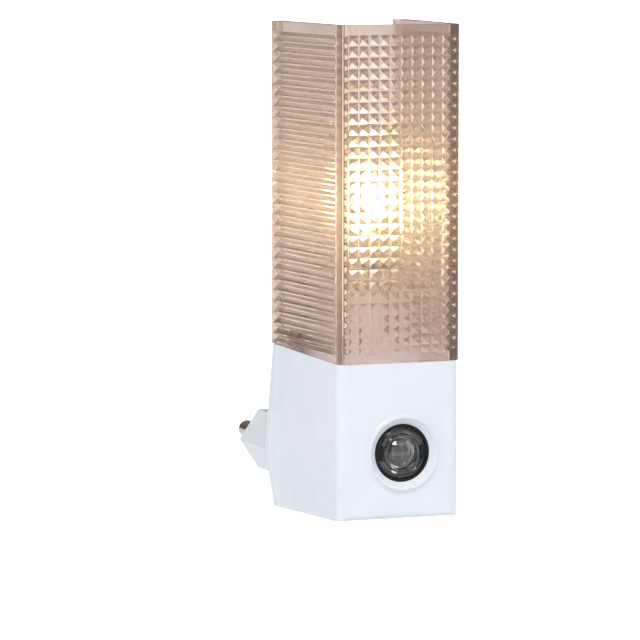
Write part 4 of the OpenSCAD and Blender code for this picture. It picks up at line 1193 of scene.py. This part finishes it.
def wound_wire_tree():
    """Winds a wire in a coil round a curve and gives it its thickness."""
    tree = bpy.data.node_groups.new("wound_wire", "GeometryNodeTree")
    group_sockets(
        tree,
        [
            ("Geometry", "NodeSocketGeometry", None),
            ("Turns", "NodeSocketInt", FILAMENT_TURNS),
            ("Coil Radius", "NodeSocketFloat", FILAMENT_COIL),
            ("Wire Radius", "NodeSocketFloat", FILAMENT_WIRE),
            ("Material", "NodeSocketMaterial", None),
        ],
        [("Geometry", "NodeSocketGeometry")],
    )
    nodes, links = tree.nodes, tree.links
    inside = nodes.new("NodeGroupInput")
    outside = nodes.new("NodeGroupOutput")
    path = nodes.new("GeometryNodeMeshToCurve")
    links.new(inside.outputs["Geometry"], path.inputs["Mesh"])
    maths = maths_for(tree)
    even = nodes.new("GeometryNodeResampleCurve")
    links.new(path.outputs[0], even.inputs["Curve"])
    links.new(maths("MULTIPLY", inside.outputs["Turns"], COIL_POINTS), even.inputs["Count"])
    along = nodes.new("GeometryNodeSplineParameter")
    turn = maths("MULTIPLY", along.outputs["Factor"], inside.outputs["Turns"])
    angle = maths("MULTIPLY", turn, 2 * math.pi)
    tangent = nodes.new("GeometryNodeInputTangent")
    reach = nodes.new("ShaderNodeVectorRotate")
    reach.rotation_type = "AXIS_ANGLE"
    reach.inputs["Vector"].default_value = (0, 1, 0)
    links.new(tangent.outputs[0], reach.inputs["Axis"])
    links.new(angle, reach.inputs["Angle"])
    out = nodes.new("ShaderNodeVectorMath")
    out.operation = "SCALE"
    links.new(reach.outputs[0], out.inputs[0])
    links.new(inside.outputs["Coil Radius"], out.inputs["Scale"])
    coil = nodes.new("GeometryNodeSetPosition")
    links.new(even.outputs[0], coil.inputs["Geometry"])
    links.new(out.outputs[0], coil.inputs["Offset"])
    ring = nodes.new("GeometryNodeCurvePrimitiveCircle")
    ring.inputs["Resolution"].default_value = WIRE_SIDES
    links.new(inside.outputs["Wire Radius"], ring.inputs["Radius"])
    wire = nodes.new("GeometryNodeCurveToMesh")
    wire.inputs["Fill Caps"].default_value = True
    links.new(coil.outputs[0], wire.inputs["Curve"])
    links.new(ring.outputs[0], wire.inputs["Profile Curve"])
    close_tree(tree, wire.outputs[0], inside, outside)
    return tree


filament_glow, filament_shader = moulded(
    "filament_glow", (1.0, 0.75, 0.4, 1), (1.0, 0.7, 0.35, 1), 0.5, grain=0.1
)
filament_shader.inputs["Emission Color"].default_value = (1.0, 0.72, 0.36, 1)
filament_shader.inputs["Emission Strength"].default_value = 40.0
filament_path = bpy.data.meshes.new("filament_path")
path_points = []
filament_foot = filament_low.z + FILAMENT_COIL + FILAMENT_WIRE
for i in range(ARCH_STEPS + 1):
    share = i / ARCH_STEPS
    rise = FILAMENT_ARCH * (1 - math.cos(2 * math.pi * share)) / 2
    path_points.append((FILAMENT_HALF * (2 * share - 1), LAMP_Y, filament_foot + rise))
filament_path.from_pydata(path_points, [(i, i + 1) for i in range(ARCH_STEPS)], [])
filament_mesh = grown(
    filament_path,
    wound_wire_tree(),
    turns=FILAMENT_TURNS,
    coil_radius=FILAMENT_COIL,
    wire_radius=FILAMENT_WIRE,
    material=filament_glow,
)
filament_mesh.shade_smooth()
add_piece("wound_filament", filament_mesh, filament_glow, "lamp", "filament_glow", "filament")

# ---- Shade ----
# One moulding of clear plastic with a warm mauve tint, open at the top and back. Small square pits cover
# its front and level flutes its sides, inside smooth flush borders. Two tongues plug it into the deck.
shade_low, shade_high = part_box("shade")
FRONT_Y = -55 * MM
REAR_Y = -18.5 * MM
SHADE_FRONT_HALF = 14.6 * MM
SHADE_REAR_HALF = 16.5 * MM
SHADE_TAPER = (SHADE_REAR_HALF - SHADE_FRONT_HALF) / (REAR_Y - FRONT_Y)
SHADE_WALL = 2.1 * MM
SHADE_CORNER = 2.0 * MM
SHADE_INNER_CORNER = 0.8 * MM
LIP_WIDTH = 3.4 * MM
LIP_THICKNESS = 1.8 * MM
RIM_HEIGHT = 2.1 * MM
PIT_PITCH = 2.46 * MM
PIT_COLUMNS = 10
PIT_DEPTH = 0.9 * MM
PIT_FLOOR_SHARE = 0.05
FLUTE_DEPTH = 0.9 * MM
FLUTE_FLOOR_SHARE = 0.08
FLUTE_RUN_OUT = 0.97
FLUTE_REAR_GAP = 0.8 * MM
LAND_SHARE = 0.12
LOBE_SHARE = 0.40
LOBE_STEPS = 2
SEAM_Z = 22.8 * MM
SEAM_SLOPE = 1.4 / 36.5
SEAM_GAP = 0.15 * MM
CORNER_STEPS = 8
INNER_CORNER_STEPS = 4
FACE_PIT, FACE_FLUTE = 1, 2
shade_top = shade_high.z
field_top = shade_top - RIM_HEIGHT
field_bottom = SEAM_Z + RIM_HEIGHT


def shade_half(y):
    return SHADE_FRONT_HALF + SHADE_TAPER * (y - FRONT_Y)


def corner_points(before, corner, after, radius, steps):
    """Points of the arc that rounds a corner of an outline."""
    u = (before - corner).normalized()
    v = (after - corner).normalized()
    half = u.angle(v) / 2
    middle = corner + (u + v).normalized() * radius / math.sin(half)
    start = corner + u * radius / math.tan(half) - middle
    end = corner + v * radius / math.tan(half) - middle
    return [
        middle + start.slerp(end, i / steps).normalized() * radius for i in range(steps + 1)
    ]


def mirrored(points):
    return [Vector((-p.x, p.y)) for p in reversed(points)]


# Left half of the outer outline: lip, rear corner, the flutes' two ends, then round the front corner
rear_corner = Vector((-SHADE_REAR_HALF, REAR_Y))
front_corner = Vector((-SHADE_FRONT_HALF, FRONT_Y))
flute_start = rear_corner + (front_corner - rear_corner).normalized() * FLUTE_REAR_GAP
corner_arc = corner_points(
    rear_corner, front_corner, Vector((0, FRONT_Y)), SHADE_CORNER, CORNER_STEPS
)[:-LOBE_STEPS]
outer_left = [Vector((LIP_WIDTH - SHADE_REAR_HALF, REAR_Y)), rear_corner, flute_start] + corner_arc
column_edges = [
    Vector(((i - PIT_COLUMNS / 2) * PIT_PITCH, FRONT_Y)) for i in range(PIT_COLUMNS + 1)
]
outer_loop = outer_left + column_edges + mirrored(outer_left)
FLUTE_SEGMENT = 2
lobe_segment = len(outer_left) - 1
pit_segments = range(lobe_segment + 1, lobe_segment + 1 + PIT_COLUMNS)
last_segment = len(outer_loop) - 2

inner_front = FRONT_Y + SHADE_WALL
inner_rear = REAR_Y - LIP_THICKNESS
inner_rear_corner = Vector((-(shade_half(inner_rear) - SHADE_WALL), inner_rear))
inner_front_corner = Vector((-(shade_half(inner_front) - SHADE_WALL), inner_front))
inner_left = [Vector((LIP_WIDTH - SHADE_REAR_HALF, inner_rear)), inner_rear_corner]
inner_left += corner_points(
    inner_rear_corner,
    inner_front_corner,
    Vector((0, inner_front)),
    SHADE_INNER_CORNER,
    INNER_CORNER_STEPS,
)
wall_loop = outer_loop + (inner_left + mirrored(inner_left))[::-1]

row_count = math.ceil((field_top - field_bottom) / PIT_PITCH)
row_heights = [max(field_top - i * PIT_PITCH, field_bottom) for i in range(row_count + 1)]


def seam_height(point):
    return SEAM_Z + SEAM_GAP + SEAM_SLOPE * (point.y - FRONT_Y)


shape = bmesh.new()
purpose = shape.faces.layers.int.new("purpose")
rings = [
    [shape.verts.new((point.x, point.y, height)) for point in wall_loop]
    for height in [shade_top] + row_heights
]
rings.append([shape.verts.new((point.x, point.y, seam_height(point))) for point in wall_loop])
lobe_lines = (lobe_segment, last_segment - lobe_segment)
for row, (upper, lower) in enumerate(zip(rings, rings[1:])):
    in_field = 1 <= row <= row_count
    extra = {}
    if in_field:
        keep = (1 - LOBE_SHARE) / 2
        for line in (lobe_segment, last_segment - lobe_segment + 1):
            top, bottom = upper[line].co, lower[line].co
            extra[line] = [
                shape.verts.new(top.lerp(bottom, keep)),
                shape.verts.new(top.lerp(bottom, 1 - keep)),
            ]
    for i in range(len(wall_loop)):
        j = (i + 1) % len(wall_loop)
        if in_field and i in lobe_lines:
            tip, root = (i, j) if i == lobe_segment else (j, i)
            high, low = extra[tip]
            lobe = [upper[root], lower[root], low, high]
            shape.faces.new(lobe)[purpose] = FACE_PIT
            shape.faces.new((upper[root], high, upper[tip]))
            shape.faces.new((lower[root], lower[tip], low))
            continue
        corners = [upper[i], upper[j]] + extra.get(j, []) + [lower[j], lower[i]]
        corners += extra.get(i, [])[::-1]
        face = shape.faces.new(corners)
        if in_field and i in pit_segments:
            face[purpose] = FACE_PIT
        elif in_field and i in (FLUTE_SEGMENT, last_segment - FLUTE_SEGMENT):
            face[purpose] = FACE_FLUTE
shape.faces.new(rings[0])
shape.faces.new(rings[-1])
bmesh.ops.recalc_face_normals(shape, faces=shape.faces)
shade_blank = bpy.data.meshes.new("shade_blank")
shape.to_mesh(shade_blank)
shape.free()


def pressed_field_tree():
    """Presses a square pit into each face marked as a pit and a level flute into each marked as a flute."""
    tree = bpy.data.node_groups.new("pressed_field", "GeometryNodeTree")
    group_sockets(
        tree,
        [
            ("Geometry", "NodeSocketGeometry", None),
            ("Pit Depth", "NodeSocketFloat", PIT_DEPTH),
            ("Pit Floor Share", "NodeSocketFloat", PIT_FLOOR_SHARE),
            ("Flute Depth", "NodeSocketFloat", FLUTE_DEPTH),
            ("Flute Floor Share", "NodeSocketFloat", FLUTE_FLOOR_SHARE),
            ("Flute Run Out", "NodeSocketFloat", FLUTE_RUN_OUT),
            ("Land Share", "NodeSocketFloat", LAND_SHARE),
            ("Material", "NodeSocketMaterial", None),
        ],
        [("Geometry", "NodeSocketGeometry")],
    )
    nodes, links = tree.nodes, tree.links
    inside = nodes.new("NodeGroupInput")
    outside = nodes.new("NodeGroupOutput")
    maths = maths_for(tree)

    def marked(number):
        purpose_read = nodes.new("GeometryNodeInputNamedAttribute")
        purpose_read.data_type = "INT"
        purpose_read.inputs["Name"].default_value = "purpose"
        same = nodes.new("FunctionNodeCompare")
        same.data_type = "INT"
        same.operation = "EQUAL"
        links.new(purpose_read.outputs["Attribute"], same.inputs[2])
        same.inputs[3].default_value = number
        return same.outputs["Result"]

    def pressed(geometry, selection, depth):
        push = nodes.new("GeometryNodeExtrudeMesh")
        push.mode = "FACES"
        push.inputs["Individual"].default_value = True
        links.new(geometry, push.inputs["Mesh"])
        links.new(selection, push.inputs["Selection"])
        links.new(maths("MULTIPLY", depth, -1.0), push.inputs["Offset Scale"])
        return push.outputs["Mesh"], push.outputs["Top"]

    def narrowed(geometry, selection, share, axis=None):
        smaller = nodes.new("GeometryNodeScaleElements")
        smaller.domain = "FACE"
        if axis:
            smaller.scale_mode = "SINGLE_AXIS"
            smaller.inputs["Axis"].default_value = axis
        links.new(geometry, smaller.inputs["Geometry"])
        links.new(selection, smaller.inputs["Selection"])
        links.new(share, smaller.inputs["Scale"])
        return smaller.outputs["Geometry"]

    nothing = maths("MULTIPLY", inside.outputs["Land Share"], 0.0)
    open_share = maths("SUBTRACT", 1.0, inside.outputs["Land Share"])
    mesh, mouth = pressed(inside.outputs["Geometry"], marked(FACE_PIT), nothing)
    mesh = narrowed(mesh, mouth, open_share)
    mesh, floor_face = pressed(mesh, mouth, inside.outputs["Pit Depth"])
    mesh = narrowed(mesh, floor_face, inside.outputs["Pit Floor Share"])
    mesh, mouth = pressed(mesh, marked(FACE_FLUTE), nothing)
    mesh = narrowed(mesh, mouth, open_share, (0, 0, 1))
    mesh, floor_face = pressed(mesh, mouth, inside.outputs["Flute Depth"])
    mesh = narrowed(mesh, floor_face, inside.outputs["Flute Floor Share"], (0, 0, 1))
    mesh = narrowed(mesh, floor_face, inside.outputs["Flute Run Out"], (0, 1, 0))
    close_tree(tree, mesh, inside, outside)
    return tree


SHADE_TINT = (0.84, 0.745, 0.74, 1)
SHADE_DEPTH_TINT = (0.45, 0.22, 0.20, 1)
SHADE_DEPTH = 110
SHADE_HAZE = (0.95, 0.84, 0.66, 1)
HAZE_SHARE = 0.11
shade_tint, shade_shader = clear(
    "shade_tint", SHADE_TINT, 1.49, roughness=0.08, smear=0.06, flow=0.06
)
shade_nodes, shade_links = shade_tint.node_tree.nodes, shade_tint.node_tree.links
haze = shade_nodes.new("ShaderNodeBsdfTranslucent")
haze.inputs["Color"].default_value = SHADE_HAZE
hazy = shade_nodes.new("ShaderNodeMixShader")
hazy.inputs[0].default_value = HAZE_SHARE
shade_links.new(shade_shader.outputs[0], hazy.inputs[1])
shade_links.new(haze.outputs[0], hazy.inputs[2])
shade_links.new(hazy.outputs[0], shade_nodes["Material Output"].inputs["Surface"])
shade_depth = shade_nodes.new("ShaderNodeVolumeAbsorption")
shade_depth.inputs["Color"].default_value = SHADE_DEPTH_TINT
shade_depth.inputs["Density"].default_value = SHADE_DEPTH
shade_links.new(shade_depth.outputs[0], shade_nodes["Material Output"].inputs["Volume"])
shade_wall = grown(
    shade_blank,
    pressed_field_tree(),
    pit_depth=PIT_DEPTH,
    pit_floor_share=PIT_FLOOR_SHARE,
    flute_depth=FLUTE_DEPTH,
    flute_floor_share=FLUTE_FLOOR_SHARE,
    flute_run_out=FLUTE_RUN_OUT,
    land_share=LAND_SHARE,
    material=shade_tint,
)

TONGUE_Y = -28.5 * MM
TONGUE_WIDTH = 8 * MM
TONGUE_THICKNESS = 1.2 * MM
TONGUE_OUTER = 13.44 * MM
TONGUE_TOP = 27.8 * MM
TONGUE_ROOT = 24.4 * MM
TONGUE_EDGE = 0.25 * MM
ROOT_EDGE = 0.05 * MM
ROOT_INSET = 0.01 * MM
ROOT_OVERLAP = 0.1 * MM
root_half = TONGUE_WIDTH / 2 - ROOT_INSET
tongue_meshes = []
for side in (-1, 1):
    inner = side * (TONGUE_OUTER - TONGUE_THICKNESS)
    outer = side * TONGUE_OUTER
    wall_x = side * (shade_half(TONGUE_Y - TONGUE_WIDTH / 2) - SHADE_WALL + ROOT_OVERLAP)
    tongue_meshes.append(
        plate(
            (min(inner, outer), TONGUE_Y - TONGUE_WIDTH / 2, shade_low.z),
            (max(inner, outer), TONGUE_Y + TONGUE_WIDTH / 2, TONGUE_TOP),
            TONGUE_EDGE,
        )
    )
    tongue_meshes.append(
        plate(
            (min(outer, wall_x), TONGUE_Y - root_half, TONGUE_ROOT),
            (max(outer, wall_x), TONGUE_Y + root_half, TONGUE_TOP - ROOT_INSET),
            ROOT_EDGE,
        )
    )

NUB_RADIUS = 1.0 * MM
NUB_HEIGHT = 0.3 * MM
NUB_SUNK = 0.02 * MM
NUB_SETBACK = 2.5 * MM
NUB_LIFT = 0.8 * MM
NUB_Y = FRONT_Y + NUB_SETBACK
NUB_Z = field_bottom + NUB_LIFT
nub_meshes = []
for side in (-1, 1):
    wall_x = side * shade_half(NUB_Y)
    shape = bmesh.new()
    bmesh.ops.create_icosphere(shape, subdivisions=4, radius=NUB_RADIUS)
    middle = Vector((wall_x + side * (NUB_HEIGHT - NUB_RADIUS), NUB_Y, NUB_Z))
    bmesh.ops.translate(shape, vec=middle, verts=shape.verts)
    bmesh.ops.bisect_plane(
        shape,
        geom=shape.verts[:] + shape.edges[:] + shape.faces[:],
        plane_co=(wall_x - side * NUB_SUNK, NUB_Y, NUB_Z),
        plane_no=(-side, SHADE_TAPER, 0),
        clear_outer=True,
    )
    bmesh.ops.holes_fill(shape, edges=[edge for edge in shape.edges if edge.is_boundary])
    bmesh.ops.recalc_face_normals(shape, faces=shape.faces)
    mesh = bpy.data.meshes.new("nub")
    shape.to_mesh(mesh)
    shape.free()
    nub_meshes.append(mesh)
shade_mesh = joined(shade_wall, *tongue_meshes, *nub_meshes)
shade_mesh.shade_smooth()
shade_mesh.set_sharp_from_angle(angle=math.radians(18))
shade = add_piece("prism_shade", shade_mesh, shade_tint, "shade", "shade_tint", "shade")
shade.visible_shadow = False
